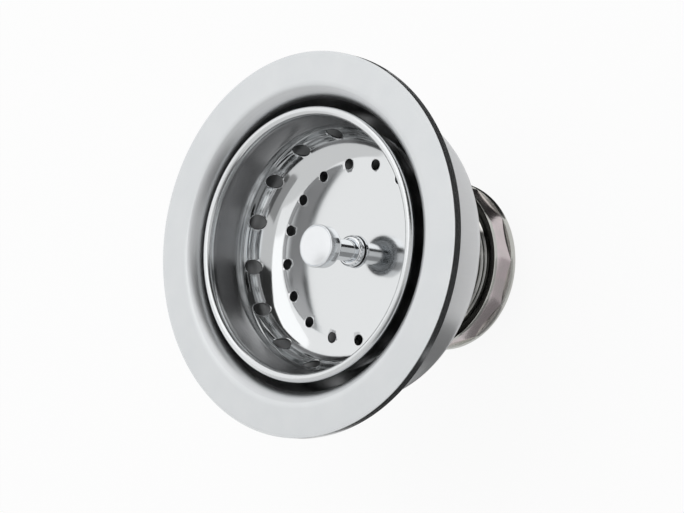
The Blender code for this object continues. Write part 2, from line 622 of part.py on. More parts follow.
def make_stopper_nut():
    inner = POST_HOLE_RADIUS / math.cos(math.pi / STOPPER_NUT_SIDES)
    outline = ring_outline(inner, STOPPER_NUT_RADIUS, STOPPER_NUT_TOP, STOPPER_NUT_BOTTOM)
    return turned("stopper_nut", outline, BRASS, STOPPER_NUT_SIDES)


for old in list(bpy.data.objects):
    bpy.data.objects.remove(old, do_unlink=True)

PARTS = new_collection("basket_strainer")
CUTTERS = new_collection("cutters")

STEEL = finish("stainless_steel", (0.62, 0.63, 0.64), 0.28, 1.0)
CHROME = finish("chrome_plate", (0.75, 0.76, 0.78), 0.08, 1.0)
ZINC = finish("die_cast_zinc", (0.50, 0.48, 0.47), 0.35, 1.0)
BRASS = finish("plain_brass", (0.62, 0.46, 0.20), 0.30, 1.0)
RUBBER = finish("black_rubber", (0.02, 0.02, 0.02), 0.60, 0.0)
FIBRE = finish("pressed_fibre", (0.45, 0.33, 0.20), 0.85, 0.0)
NYLON = finish("white_nylon", (0.80, 0.79, 0.75), 0.45, 0.0)

make_flange_bowl()
make_flange_gasket()
make_spigot()
make_neck_seal()
make_crossbar()
make_grommet()

clamp_axis = axis_of("clamp_axis", [make_outer_cup(), make_sink_gasket(), make_friction_washer()])
axis_of("locknut_axis", [make_locknut()], clamp_axis)
slip_axis = axis_of("slip_axis", [make_slip_washer()])
axis_of("coupling_axis", [make_coupling_nut()], slip_axis)
post_pieces = [make_post(), make_knob_body(), make_knob_cap(), make_collar()]
stopper_pieces = [make_stopper_washer(), make_stopper(), make_retainer(), make_stopper_nut()]
post_axis = axis_of("post_axis", post_pieces + stopper_pieces)
axis_of("basket_axis", [make_basket_shell(), make_floor_bush()], post_axis)
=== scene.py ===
"""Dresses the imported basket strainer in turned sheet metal, a pierced basket, cut threads and cast nuts.

Lengths are in metres and +Z is up, along the strainer's axis. Outlines are drawn as (radius, depth) points,
with depth measured down from the flange's face.
"""

import math

import bpy
from bpy.props import FloatProperty, FloatVectorProperty, IntProperty, PointerProperty
from mathutils import Matrix, Vector


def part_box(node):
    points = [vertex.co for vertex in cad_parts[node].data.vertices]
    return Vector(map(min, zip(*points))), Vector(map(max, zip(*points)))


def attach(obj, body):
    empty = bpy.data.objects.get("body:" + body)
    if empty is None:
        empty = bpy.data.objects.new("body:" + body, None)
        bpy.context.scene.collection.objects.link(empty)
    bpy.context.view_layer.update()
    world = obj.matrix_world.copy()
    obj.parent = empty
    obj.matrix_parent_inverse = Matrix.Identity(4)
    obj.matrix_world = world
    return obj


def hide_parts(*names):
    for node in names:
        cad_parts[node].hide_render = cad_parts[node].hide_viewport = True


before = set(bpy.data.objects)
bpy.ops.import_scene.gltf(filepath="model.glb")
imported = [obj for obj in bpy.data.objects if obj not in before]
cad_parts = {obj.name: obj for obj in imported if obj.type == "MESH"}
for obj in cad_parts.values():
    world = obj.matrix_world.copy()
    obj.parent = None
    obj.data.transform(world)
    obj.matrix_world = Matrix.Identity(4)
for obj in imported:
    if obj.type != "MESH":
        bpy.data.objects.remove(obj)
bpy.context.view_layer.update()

bl_info = {
    "name": "Basket strainer",
    "version": (1, 0, 0),
    "blender": (4, 5, 0),
    "location": "3D View > Sidebar > Strainer",
    "description": "Models the finished look of a kitchen-sink basket strainer round its CAD frame",
    "category": "Object",
}

MM = 0.001

# How finely round shapes are drawn, and how close points have to be to be one
TURN_STEPS = 192
SMALL_TURN_STEPS = 96
LONGEST_STRETCH = 1.6 * MM
ARC_STEP = 5.0
WELD = 0.002 * MM
SMOOTH_ANGLE = math.radians(32)
SEED_SIZE = 1.0 * MM

# Room that the CAD leaves between pieces that touch, and how far a cutter reaches past what it cuts
FIT_GAP = 0.3 * MM
CUT_REACH = 3.0 * MM

# Height of the flange's face, from which depths are measured
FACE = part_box("flange_bowl")[1].z


def span(node):
    """Inner radius, outer radius, top depth and bottom depth of a CAD node."""
    points = [vertex.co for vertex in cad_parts[node].data.vertices]
    radii = [math.hypot(point.x, point.y) for point in points]
    heights = [point.z for point in points]
    return min(radii), max(radii), FACE - max(heights), FACE - min(heights)


def linear(value):
    """Linear RGB of an sRGB hex colour."""
    parts = [int(value[i : i + 2], 16) / 255 for i in (1, 3, 5)]
    return tuple(c / 12.92 if c <= 0.04045 else ((c + 0.055) / 1.055) ** 2.4 for c in parts)


def length(name, description, millimetres):
    return FloatProperty(
        name=name, description=description, default=millimetres * MM, unit="LENGTH", precision=5
    )


def angle(name, description, degrees):
    return FloatProperty(name=name, description=description, default=math.radians(degrees), subtype="ANGLE")


def share(name, description, value):
    return FloatProperty(name=name, description=description, default=value, min=0.0)


def color(name, description, value):
    return FloatVectorProperty(
        name=name, description=description, default=linear(value), subtype="COLOR", size=3, min=0.0, max=1.0
    )


class FlangeSizes(bpy.types.PropertyGroup):
    """Sizes of the flange, the bowl and the clamp cup."""

    edge_drop: length("Edge drop", "How far the flange's edge is turned down", 2.8)
    edge_round: length("Edge round", "Round of the flange's outer edge", 0.12)
    lip_round: length("Lip round", "Round of the lip between the flange and the bowl", 6.8)
    lip_start: angle("Lip start", "Slope with which the lip leaves the flange", 25)
    lip_end: angle("Lip end", "Slope with which the lip ends above the bowl's wall", 72)
    opening_radius: length("Opening radius", "Radius of the bowl's straight wall", 43.58)
    sheet: length("Sheet", "Thickness of the bowl's and the cup's sheet", 0.8)
    wall_depth: length("Wall depth", "Depth at which the straight wall ends", 21.0)
    corner_round: length("Corner round", "Round between the wall and the funnel", 5.0)
    funnel_slope: angle("Funnel slope", "Slope of the bowl's funnel", 22)
    throat_round: length("Throat round", "Round between the funnel and the neck", 2.5)
    cup_clearance: length("Cup clearance", "Room between the bowl and the clamp cup", 0.6)
    cup_rim_round: length("Cup rim round", "Round under the clamp cup's rim", 1.0)
    cup_corner_round: length("Cup corner round", "Outer round of the clamp cup's corner", 3.5)
    cup_corner_drop: length("Cup corner drop", "How far the cup's corner lies below the bowl's", 4.9)
    cup_seat_width: length("Cup seat width", "Width of the flat seat for the locknut", 4.4)


class BasketSizes(bpy.types.PropertyGroup):
    """Sizes of the basket and its holes."""

    sheet: length("Sheet", "Thickness of the basket's sheet", 0.6)
    rim_radius: length("Rim radius", "Outer radius of the curled rim", 41.05)
    rim_depth: length("Rim depth", "Depth of the curl's centre", 2.2)
    bead_radius: length("Bead radius", "Radius of the curl", 1.35)
    band_depth: length("Band depth", "Depth down to which the curl's inner side runs straight", 3.3)
    band_step: length("Band step", "How far the wall steps back under that band", 0.3)
    wall_taper: length("Wall taper", "How much the wall narrows down to the step", 0.9)
    step_in: length("Step in", "How far the step goes inwards", 0.9)
    step_height: length("Step height", "Height of the step", 4.0)
    bowl_round: length("Bowl round", "Round between the wall and the floor", 9.2)
    hole_count: IntProperty(name="Holes", description="Holes in each ring", default=16, min=3)
    hole_start: angle("Hole start", "Direction of the first hole", 15.3)
    wall_hole_half_width: length("Wall hole half width", "Half the width of a wall hole", 2.3)
    wall_hole_half_length: length("Wall hole half length", "Half the height of a wall hole", 3.0)
    wall_hole_tilt: angle("Wall hole tilt", "How far a wall hole's axis dips", 20)
    floor_hole_radius: length("Floor hole radius", "Radius of a floor hole", 1.65)
    floor_hole_inset: length("Floor hole inset", "How far the floor holes lie inside the round", 0.25)
    hole_edge_round: length("Hole edge round", "Round of the holes' edges", 0.12)


class FittingSizes(bpy.types.PropertyGroup):
    """Sizes of the threads, the nuts, the post and the small rings."""

    thread_pitch: length("Thread pitch", "Pitch of a 1-1/2 inch pipe thread, 11.5 to the inch", 2.209)
    thread_depth: length("Thread depth", "Depth of the thread", 1.1)
    spigot_chamfer: length("Spigot chamfer", "Chamfer at the spigot's end", 0.8)
    spigot_counterbore: length("Spigot counterbore", "Radius of the recess for the bowl's neck", 21.1)
    ledge_depth: length("Ledge depth", "Depth of the ledge that carries the crossbar", 45.986)
    nut_flats: IntProperty(name="Nut flats", description="Flats round the coupling nut", default=12, min=4)
    nut_flat_depth: length("Nut flat depth", "How deep the flats are sunk", 0.95)
    nut_front_collar: length("Nut front collar", "Height of the collar on the strainer's side", 1.5)
    nut_rear_collar: length("Nut rear collar", "Height of the collar at the bottom", 2.2)
    nut_lip: length("Nut lip", "Thickness of the lip under the slip washer", 2.0)
    nut_turn: angle("Nut turn", "Direction of the first corner between flats", 9.7)
    cast_round: length("Cast round", "Round of the cast nuts' edges", 0.35)
    lug_count: IntProperty(name="Lugs", description="Lugs round the locknut", default=6, min=2)
    lug_width: length("Lug width", "Width of a lug", 8.0)
    lug_height: length("Lug height", "Height of a lug", 6.0)
    lug_reach: length("Lug reach", "How far a lug stands out", 2.6)
    knob_dome: length("Knob dome", "Rise of the knob's face", 0.4)
    knob_rim: length("Knob rim", "Width of the rim round the knob's face", 0.6)
    knob_groove: length("Knob groove", "Width of the groove inside that rim", 0.3)
    knob_skirt: length("Knob skirt", "How far the knob's round underside hangs down", 1.0)
    knob_round: length("Knob round", "Round under the knob", 2.2)
    collar_rise: length("Collar rise", "Height of the rounded ring above the post's collar", 0.9)
    collar_chamfer: length("Collar chamfer", "Chamfer of that ring round the post", 0.5)
    collar_round: length("Collar round", "Round of the collar's own edges", 0.25)
    post_growth: length("Post growth", "How far the post fills the room that its guides leave", 0.25)
    post_tip_round: length("Post tip round", "Round of the post's lower end", 2.0)
    crossbar_width: length("Crossbar width", "Width of the bar that guides the post", 9.0)
    crossbar_hub: length("Crossbar hub", "Radius of the bar's hub", 7.5)
    stopper_round: length("Stopper round", "Round of the stopper's upper edge", 1.2)
    seal_round: length("Seal round", "Round of the edges of gaskets and washers", 0.25)


class FinishColors(bpy.types.PropertyGroup):
    """Colours of the finishes."""

    steel: color("Steel", "Light patches of polished stainless sheet", "#E1E3E4")
    steel_shade: color("Steel shade", "Dark patches of polished stainless sheet", "#D8DBDD")
    steel_turned: color("Turned steel", "Light lines of the turned lip", "#DEE0E1")
    steel_turned_shade: color("Turned steel shade", "Dark lines of the turned lip", "#CCCED0")
    # Painted shade: the darker tone inside the bowl stands for the shade of the deep gap round the basket
    steel_bowl_painted_shade: color("Steel in painted shade", "Stainless sheet inside the bowl, darkened as painted shade", "#9A9B9C")
    # The brushed wall's lines are real, and both their tones are darker than the polished steel as painted
    # shade
    brushed_steel_painted_shade_light: color("Brushed steel", "Light lines of the lathe-brushed wall, darkened as painted shade", "#A6A6A7")
    brushed_steel_painted_shade_dark: color("Brushed steel shade", "Dark lines of the lathe-brushed wall, darkened as painted shade", "#9A9A9B")
    mill: color("Mill finish", "Light marks of mill-finished stainless sheet", "#E0E1E2")
    mill_shade: color("Mill finish shade", "Dark marks of mill-finished stainless sheet", "#DADBDC")
    chrome: color("Chrome", "Bright chrome plate", "#F3F5F7")
    chrome_shade: color("Chrome shade", "Bright chrome plate in the hollows of its roll", "#E9EBED")
    # Painted shade: the grey tone for chrome faces that point down
    chrome_underside_painted_shade: color("Chrome in painted underside shade", "Chrome on undersides, darkened as painted shade", "#86888A")
    nickel: color("Nickel", "Nickel plate, bright on the thread's crests", "#F0EFEB")
    # Painted shade for the thread's roots and the bore
    nickel_root_painted_shade: color("Nickel shade", "Nickel darkened as painted shade in the thread's roots and the bore", "#7F7F7C")
    zinc: color("Zinc", "Bare cast zinc", "#D2CECC")
    # Painted shade for the nuts' end faces
    zinc_end_painted_shade: color("Zinc in painted shade", "Zinc darkened as painted shade on the nuts' end faces", "#444442")
    zinc_pink: color("Pink film", "Passivate in the nuts' hollows", "#EBDADE")
    zinc_green: color("Green film", "Passivate on the nuts' rims", "#D5D9D1")
    brass: color("Brass", "Fresh turned brass", "#D1AE63")
    brass_shade: color("Brass shade", "Dulled brass", "#B5924E")
    rubber: color("Rubber", "Black moulded rubber", "#19191A")
    rubber_bloom: color("Rubber bloom", "Bloom on the rubber", "#262627")
    fibre: color("Fibre", "Light fibres of the friction washer", "#94714D")
    fibre_shade: color("Fibre shade", "Dark fibres of the friction washer", "#735439")
    nylon: color("Nylon", "Natural nylon", "#E9E6DB")
    nylon_shade: color("Nylon shade", "Flow marks in the nylon", "#DEDACB")
    board: color("Board", "Matt white board under the strainer", "#F2F2F2")


class StageLight(bpy.types.PropertyGroup):
    """Brightness of the light."""

    fill: share("Fill", "How much the white surroundings light matt pieces", 0.6)
    key: share("Key", "Brightness of the softbox, where 1 is white", 1.26)
    floor_glow: share("Floor glow", "How much of the floor's own white is seen", 0.92)
    floor_mirror: share("Floor mirror", "How much of the floor's own white the metal mirrors", 0.45)


# Drawing with points


def arc(center, radius, start, end, step=ARC_STEP):
    """Points of an arc in (radius, depth). Angle 0 points outwards and 90 degrees points down."""
    spans = max(2, math.ceil(abs(end - start) / step))
    points = []
    for i in range(spans + 1):
        swing = math.radians(start + (end - start) * i / spans)
        points.append((center[0] + radius * math.cos(swing), center[1] + radius * math.sin(swing)))
    return points


def split_long(path, longest=LONGEST_STRETCH):
    """The same path with its long stretches cut up, so that flat faces stay flat next to round ones."""
    points = [path[0]]
    for a, b in zip(path, path[1:]):
        spans = max(1, math.ceil(math.dist(a, b) / longest))
        for i in range(1, spans + 1):
            points.append((a[0] + (b[0] - a[0]) * i / spans, a[1] + (b[1] - a[1]) * i / spans))
    return points


def sheet_outline(path, thickness):
    """Closed outline of a sheet: its drawn face and the other face, which lies below it or outside it."""
    normals = []
    for (r0, d0), (r1, d1) in zip(path, path[1:]):
        reach = math.hypot(r1 - r0, d1 - d0)
        normals.append(((d1 - d0) / reach, (r0 - r1) / reach))
    other_face = []
    for i, (r, d) in enumerate(path):
        before = normals[max(i - 1, 0)]
        after = normals[min(i, len(normals) - 1)]
        reach = thickness / (1 + before[0] * after[0] + before[1] * after[1])
        other_face.append((r + reach * (before[0] + after[0]), d + reach * (before[1] + after[1])))
    return path + other_face[::-1]


def ring_outline(inner, outer, top, bottom):
    return [(inner, top), (outer, top), (outer, bottom), (inner, bottom)]


def tangent_slope(point, center, radius):
    """Slope of the line that rises outwards from a point and touches the underside of a circle."""
    across = center[0] - point[0]
    down = point[1] - center[1]
    return math.atan2(down, across) - math.asin(radius / math.hypot(across, down))


# Modelling with operators


def spot(point):
    return Vector((point[0], 0.0, FACE - point[1]))


def draw_outline(name, outline):
    """A new piece in edit mode, whose points are extruded one after another along the outline."""
    bpy.ops.object.select_all(action="DESELECT")
    bpy.ops.mesh.primitive_plane_add(size=SEED_SIZE)
    piece = bpy.context.object
    piece.name = name
    piece.data.name = name
    bpy.ops.object.mode_set(mode="EDIT")
    bpy.ops.mesh.select_all(action="SELECT")
    bpy.ops.mesh.merge(type="CENTER")
    bpy.ops.transform.translate(value=spot(outline[0]))
    for before, after in zip(outline, outline[1:]):
        bpy.ops.mesh.extrude_region_move(TRANSFORM_OT_translate={"value": spot(after) - spot(before)})
    return piece


def weld(reach=WELD):
    """Merges the points within this reach of the piece in edit mode and turns its faces outwards."""
    bpy.ops.mesh.select_all(action="SELECT")
    bpy.ops.mesh.remove_doubles(threshold=reach)
    bpy.ops.mesh.normals_make_consistent(inside=False)


def turn(name, outline, steps=TURN_STEPS, closed=True):
    """Spins an outline round the axis. A closed one makes a ring, an open one ends on the axis."""
    if closed:
        outline = outline + outline[:1]
    piece = draw_outline(name, outline)
    bpy.ops.mesh.select_all(action="SELECT")
    bpy.ops.mesh.spin(steps=steps, angle=math.tau, center=(0, 0, 0), axis=(0, 0, 1))
    weld()
    bpy.ops.object.mode_set(mode="OBJECT")
    return piece


def pick(*pieces):
    """Selects these pieces alone, and makes the first the active one."""
    bpy.ops.object.select_all(action="DESELECT")
    for piece in pieces:
        piece.select_set(True)
    bpy.context.view_layer.objects.active = pieces[0]


def shape_with(piece, kind, **settings):
    """Gives the piece a modifier with these settings and applies it."""
    modifier = piece.modifiers.new(kind.lower(), kind)
    for name, value in settings.items():
        setattr(modifier, name, value)
    pick(piece)
    bpy.ops.object.modifier_apply(modifier=modifier.name)


def soften(piece, width, segments=3, clamped=True):
    """Rounds the sharp edges of the piece, as far as there is room if it is clamped."""
    shape_with(
        piece,
        "BEVEL",
        width=width,
        segments=segments,
        limit_method="ANGLE",
        angle_limit=SMOOTH_ANGLE,
        use_clamp_overlap=clamped,
    )


def cut(piece, tool, operation="DIFFERENCE"):
    """Cuts the piece with another, or joins that one to it, and removes the other."""
    shape_with(piece, "BOOLEAN", object=tool, operation=operation, solver="EXACT")
    bpy.data.objects.remove(tool, do_unlink=True)


def join(pieces):
    """Makes one piece of several, named for the first."""
    pick(*pieces)
    bpy.ops.object.join()
    return pieces[0]


def placed(add, matrix, **shape):
    """What a primitive's operator adds, put in place by a matrix that is applied to its mesh."""
    bpy.ops.object.select_all(action="DESELECT")
    add(**shape)
    piece = bpy.context.object
    piece.matrix_world = matrix
    bpy.ops.object.transform_apply(location=True, rotation=True, scale=True)
    return piece


def placed_cylinder(matrix, sides):
    """A cylinder of radius 1 that reaches 1 each way along Z, put in place by a matrix."""
    return placed(bpy.ops.mesh.primitive_cylinder_add, matrix, vertices=sides, radius=1.0, depth=2.0)


def placed_block(matrix):
    """A cube of size 1, put in place by a matrix."""
    return placed(bpy.ops.mesh.primitive_cube_add, matrix, size=1.0)


def settle(piece, body, node, build):
    """Smooths a finished piece, gives it its material and puts it on its body in the CAD node's stead."""
    pick(piece)
    bpy.ops.object.shade_smooth_by_angle(angle=SMOOTH_ANGLE)
    piece.data.materials.clear()
    piece.data.materials.append(finish(build))
    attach(piece, body)
    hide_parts(node)


# Materials

LINE_RADIUS = 40.0 * MM


def set_inputs(tree, node, inputs):
    """Sets a node's inputs. One is a constant, or a (node, output) pair to link from."""
    for name, value in inputs.items():
        if isinstance(value, tuple) and isinstance(value[0], bpy.types.Node):
            tree.links.new(value[0].outputs[value[1]], node.inputs[name])
        else:
            node.inputs[name].default_value = value


def add_node(tree, kind, inputs=None, **settings):
    """Adds a shader node with its settings and its inputs."""
    node = tree.nodes.new("ShaderNode" + kind)
    for name, value in settings.items():
        setattr(node, name, value)
    set_inputs(tree, node, inputs or {})
    return node


def finish(build):
    """The material that a function builds, named for that function and built once."""
    material = bpy.data.materials.get(build.__name__)
    if material is None:
        material = bpy.data.materials.new(build.__name__)
        material.use_nodes = True
        shader = material.node_tree.nodes["Principled BSDF"]
        build(material.node_tree, shader, bpy.context.scene.strainer_finishes)
    return material


def tint(shade):
    return (*shade, 1.0)


def patches(tree, size, detail=2.0):
    """Soft patches of about this size."""
    place = add_node(tree, "TexCoord")
    scale = (1 / size,) * 3
    scaled = add_node(tree, "Mapping", {"Vector": (place, "Object"), "Scale": scale})
    return add_node(tree, "TexNoise", {"Vector": (scaled, "Vector"), "Scale": 1.0, "Detail": detail})


def axis_place(tree):
    """Where a point lies about the axis: its direction, its distance from the axis and its height."""
    place = add_node(tree, "TexCoord")
    flat = add_node(tree, "Mapping", {"Vector": (place, "Object"), "Scale": (1, 1, 0)})
    way = add_node(tree, "VectorMath", {0: (flat, "Vector")}, operation="NORMALIZE")
    reach = add_node(tree, "VectorMath", {0: (flat, "Vector")}, operation="LENGTH")
    height = add_node(tree, "SeparateXYZ", {"Vector": (place, "Object")})
    return way, reach, height


def streaks(tree, around, across):
    """Noise drawn out to one size round the axis, at the basket's wall, and another along the outline."""
    way, reach, height = axis_place(tree)
    outline = add_node(tree, "Math", {0: (reach, "Value"), 1: (height, "Z")}, operation="ADD")
    step = add_node(tree, "Math", {0: (outline, "Value"), 1: 1 / across}, operation="MULTIPLY")
    level = add_node(tree, "CombineXYZ", {"Z": (step, "Value")})
    spread = LINE_RADIUS / around
    parts = {0: (way, "Vector"), 1: (spread, spread, 0), 2: (level, "Vector")}
    grain = add_node(tree, "VectorMath", parts, operation="MULTIPLY_ADD")
    return add_node(tree, "TexNoise", {"Vector": (grain, "Vector"), "Scale": 1.0, "Detail": 2.0})


def coat(tree, shader, tones, gloss, roughness, relief, strength, depth, below=None, **rest):
    """Mixes the shader's colour, and lets its roughness follow one pattern and its bump another.

    The bump may lie on one below it, and the rest are constants of the shader.
    """
    shade = add_node(tree, "Mix", tones, data_type="RGBA")
    rough = {"Value": (gloss, 0), "To Min": roughness[0], "To Max": roughness[1]}
    bump = {"Height": (relief, 0), "Strength": strength, "Distance": depth}
    if below:
        bump["Normal"] = (below, "Normal")
    inputs = {
        "Base Color": (shade, 2),
        "Roughness": (add_node(tree, "MapRange", rough), "Result"),
        "Normal": (add_node(tree, "Bump", bump), "Normal"),
    }
    set_inputs(tree, shader, {**inputs, **rest})


def satin_stainless_steel(tree, shader, colors):
    # Pressed stainless sheet, satin polished on the flange: an even silver with faint clouds and hairlines.
    # Its lip is turned, with fine lines round it, its edge is bright, and inside the bowl and below it the
    # colour is darkened as painted shade
    sizes = bpy.context.scene.strainer_flange
    lip_depth = sizes.lip_round * (math.cos(sizes.lip_start) - math.cos(sizes.lip_end))
    rim = span("flange_bowl")[1]
    _, reach, height = axis_place(tree)
    # The turned lines fade out just below the lip, into the painted shade inside the bowl
    lip_ends = {"Value": (height, "Z"), "From Min": FACE - 1.2 * lip_depth, "From Max": FACE - lip_depth}
    above_bowl = add_node(tree, "MapRange", lip_ends)
    face_starts = {"Value": (height, "Z"), "From Min": FACE - 0.3 * MM, "From Max": FACE - 0.1 * MM}
    on_face = add_node(tree, "MapRange", face_starts)
    edge_starts = {"Value": (reach, "Value"), "From Min": rim - 0.5 * MM, "From Max": rim - 0.2 * MM}
    on_edge = add_node(tree, "MapRange", edge_starts)
    # Real turning lines and hairlines are some 0.05 mm wide, and are drawn coarser to show
    clouds = patches(tree, 9 * MM)
    lines = streaks(tree, 40 * MM, 0.35 * MM)
    hairlines = streaks(tree, 0.4 * MM, 7 * MM)
    polish = {0: (clouds, 0), 6: tint(colors.steel_shade), 7: tint(colors.steel)}
    silver = add_node(tree, "Mix", polish, data_type="RGBA")
    turning = {0: (lines, 0), 6: tint(colors.steel_turned_shade), 7: tint(colors.steel_turned)}
    turned = add_node(tree, "Mix", turning, data_type="RGBA")
    # Below the lip the colour turns to the painted shade inside the bowl
    bowl_painted_shade = {0: (above_bowl, "Result"), 6: tint(colors.steel_bowl_painted_shade), 7: (turned, 2)}
    inside = add_node(tree, "Mix", bowl_painted_shade, data_type="RGBA")
    all_over = {0: (on_face, "Result"), 6: (inside, 2), 7: (silver, 2)}
    satin = add_node(tree, "MapRange", {"Value": (hairlines, 0), "To Min": 0.34, "To Max": 0.42})
    brightening = {0: (on_edge, "Result"), 2: (satin, "Result"), 3: 0.14}
    gloss = add_node(tree, "Mix", brightening, data_type="FLOAT")
    coat(tree, shader, all_over, gloss, (0.0, 1.0), hairlines, 0.05, 0.01 * MM, Metallic=1.0)


def spun_stainless_steel(tree, shader, colors):
    # Deep-drawn basket with a bright turned rim, a wall brushed on the lathe and darkened as painted shade,
    # and a bowl polished below the step: lines round the rim and the wall, and a soft mirror under them
    sizes = bpy.context.scene.strainer_basket
    step = FACE - (span("basket_shell")[3] - sizes.sheet - sizes.bowl_round)
    band = FACE - sizes.band_depth
    height = axis_place(tree)[2]
    step_ends = {"Value": (height, "Z"), "From Min": step, "From Max": step + sizes.step_height}
    above_step = add_node(tree, "MapRange", step_ends)
    band_ends = {"Value": (height, "Z"), "From Min": band, "From Max": band - sizes.band_step}
    below_band = add_node(tree, "MapRange", band_ends)
    both = {0: (above_step, "Result"), 1: (below_band, "Result")}
    brushed = add_node(tree, "Math", both, operation="MULTIPLY")
    # Real lathe lines are some 0.05 mm apart, and are drawn coarser to show
    lines = streaks(tree, 40 * MM, 0.35 * MM)
    # The wall's brushed lines, in tones darkened as painted shade
    brushing_and_painted_shade = {0: (lines, 0), 6: tint(colors.brushed_steel_painted_shade_dark), 7: tint(colors.brushed_steel_painted_shade_light)}
    painted_shade_blend = add_node(tree, "Mix", brushing_and_painted_shade, data_type="RGBA")
    all_over = {0: (brushed, "Value"), 6: tint(colors.steel), 7: (painted_shade_blend, 2)}
    # The lines are deepest on the rim, and the polish took them away below the step
    cut_depth = add_node(tree, "MapRange", {"Value": (below_band, "Result"), "To Min": 0.25, "To Max": 0.05})
    left = {0: (above_step, "Result"), 1: (cut_depth, "Result")}
    depth = add_node(tree, "Math", left, operation="MULTIPLY")
    coat(tree, shader, all_over, above_step, (0.1, 0.22), lines, (depth, "Value"), 0.02 * MM, Metallic=1.0)


def rolled_stainless_steel(tree, shader, colors):
    # Deep-drawn cup left with its mill finish: a soft grey sheen with faint draw marks down the wall
    marks = streaks(tree, 0.8 * MM, 12 * MM)
    tones = {0: (marks, 0), 6: tint(colors.mill_shade), 7: tint(colors.mill)}
    coat(tree, shader, tones, marks, (0.28, 0.33), marks, 0.03, 0.01 * MM, Metallic=1.0)


def chrome_plated_brass(tree, shader, colors):
    # Turned brass under bright chrome: a clear mirror with a slight roll and faint turning lines, darkened
    # to grey on undersides as painted shade
    roll = patches(tree, 4 * MM, 0.0)
    lines = streaks(tree, 60 * MM, 0.25 * MM)
    tones = {0: (roll, 0), 6: tint(colors.chrome_shade), 7: tint(colors.chrome)}
    plate = add_node(tree, "Mix", tones, data_type="RGBA")
    surface = add_node(tree, "NewGeometry")
    facing = add_node(tree, "SeparateXYZ", {"Vector": (surface, "Normal")})
    # Faces that point down are greyed as painted shade
    under = add_node(tree, "MapRange", {"Value": (facing, "Z"), "From Min": -0.1, "From Max": -0.7})
    underside_painted_shade = {0: (under, "Result"), 6: (plate, 2), 7: tint(colors.chrome_underside_painted_shade)}
    turned = add_node(tree, "Bump", {"Height": (lines, 0), "Strength": 0.1, "Distance": 0.01 * MM})
    coat(tree, shader, underside_painted_shade, lines, (0.03, 0.09), roll, 0.3, 0.03 * MM, turned, Metallic=1.0)


def brushed_chrome_plate(tree, shader, colors):
    # The knob's face, brushed on the lathe under its chrome: a soft sheen with rings round the middle
    rings = streaks(tree, 60 * MM, 0.3 * MM)
    tones = {0: (rings, 0), 6: tint(colors.chrome_shade), 7: tint(colors.chrome)}
    coat(tree, shader, tones, rings, (0.14, 0.24), rings, 0.08, 0.02 * MM, Metallic=1.0)


def nickel_plated_brass(tree, shader, colors):
    # Cut brass thread under nickel: bright on the crests, darkened as painted shade in the roots and the
    # bore, and with the die's lines round it
    crest = span("threaded_spigot")[1]
    root = crest - bpy.context.scene.strainer_fittings.thread_depth
    reach = axis_place(tree)[1]
    lines = streaks(tree, 30 * MM, 0.25 * MM)
    # The thread's roots and the bore get painted shade, the crests the bright nickel
    painted_shade_blend = add_node(tree, "MapRange", {"Value": (reach, "Value"), "From Min": root, "From Max": crest})
    tones = {0: (painted_shade_blend, "Result"), 6: tint(colors.nickel_root_painted_shade), 7: tint(colors.nickel)}
    coat(tree, shader, tones, lines, (0.07, 0.14), lines, 0.15, 0.02 * MM, Metallic=1.0)


def passivated_zinc(tree, shader, colors):
    # Cast zinc under a clear passivate: a soft grey gloss, pink in the hollows and green on the proud rims,
    # and dark on the end faces as painted shade
    sizes = bpy.context.scene.strainer_fittings
    edge = sizes.cast_round
    height = axis_place(tree)[2]
    low, high = (corner.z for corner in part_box("coupling_nut"))
    flats_low, flats_high = low + sizes.nut_rear_collar, high - sizes.nut_front_collar
    middle, half = (flats_low + flats_high) / 2, (flats_high - flats_low) / 2
    off = add_node(tree, "Math", {0: (height, "Z"), 1: middle}, operation="SUBTRACT")
    away = add_node(tree, "Math", {0: (off, "Value")}, operation="ABSOLUTE")
    rim = add_node(tree, "MapRange", {"Value": (away, "Value"), "From Min": half - edge, "From Max": half})
    films = {0: (rim, "Result"), 6: tint(colors.zinc_pink), 7: tint(colors.zinc_green)}
    film = add_node(tree, "Mix", films, data_type="RGBA")
    stains = patches(tree, 3 * MM, 4.0)
    stained = {0: (stains, 0), 6: (film, 2), 7: tint(colors.zinc)}
    sides = add_node(tree, "Mix", stained, data_type="RGBA")
    # Level end faces beyond the flats get the painted shade
    surface = add_node(tree, "NewGeometry")
    facing = add_node(tree, "SeparateXYZ", {"Vector": (surface, "Normal")})
    steep = add_node(tree, "Math", {0: (facing, "Z")}, operation="ABSOLUTE")
    level = add_node(tree, "MapRange", {"Value": (steep, "Value"), "From Min": 0.75, "From Max": 0.95})
    flats_end = {"Value": (away, "Value"), "From Min": half + edge, "From Max": half + 2 * edge}
    past_flats = add_node(tree, "MapRange", flats_end)
    both = {0: (level, "Result"), 1: (past_flats, "Result")}
    end_face = add_node(tree, "Math", both, operation="MULTIPLY")
    all_over = {0: (end_face, "Value"), 6: (sides, 2), 7: tint(colors.zinc_end_painted_shade)}
    # Casting grain is some 0.1 mm, and is drawn coarser to show
    grit = patches(tree, 0.5 * MM, 3.0)
    coat(tree, shader, all_over, stains, (0.14, 0.26), grit, 0.25, 0.03 * MM, Metallic=1.0)


def turned_brass(tree, shader, colors):
    # Bar brass turned and left bare: warm yellow with fine lathe lines and a slightly dulled skin
    lines = streaks(tree, 40 * MM, 0.3 * MM)
    dulling = patches(tree, 2 * MM)
    tones = {0: (dulling, 0), 6: tint(colors.brass_shade), 7: tint(colors.brass)}
    coat(tree, shader, tones, lines, (0.2, 0.34), lines, 0.2, 0.02 * MM, Metallic=1.0)


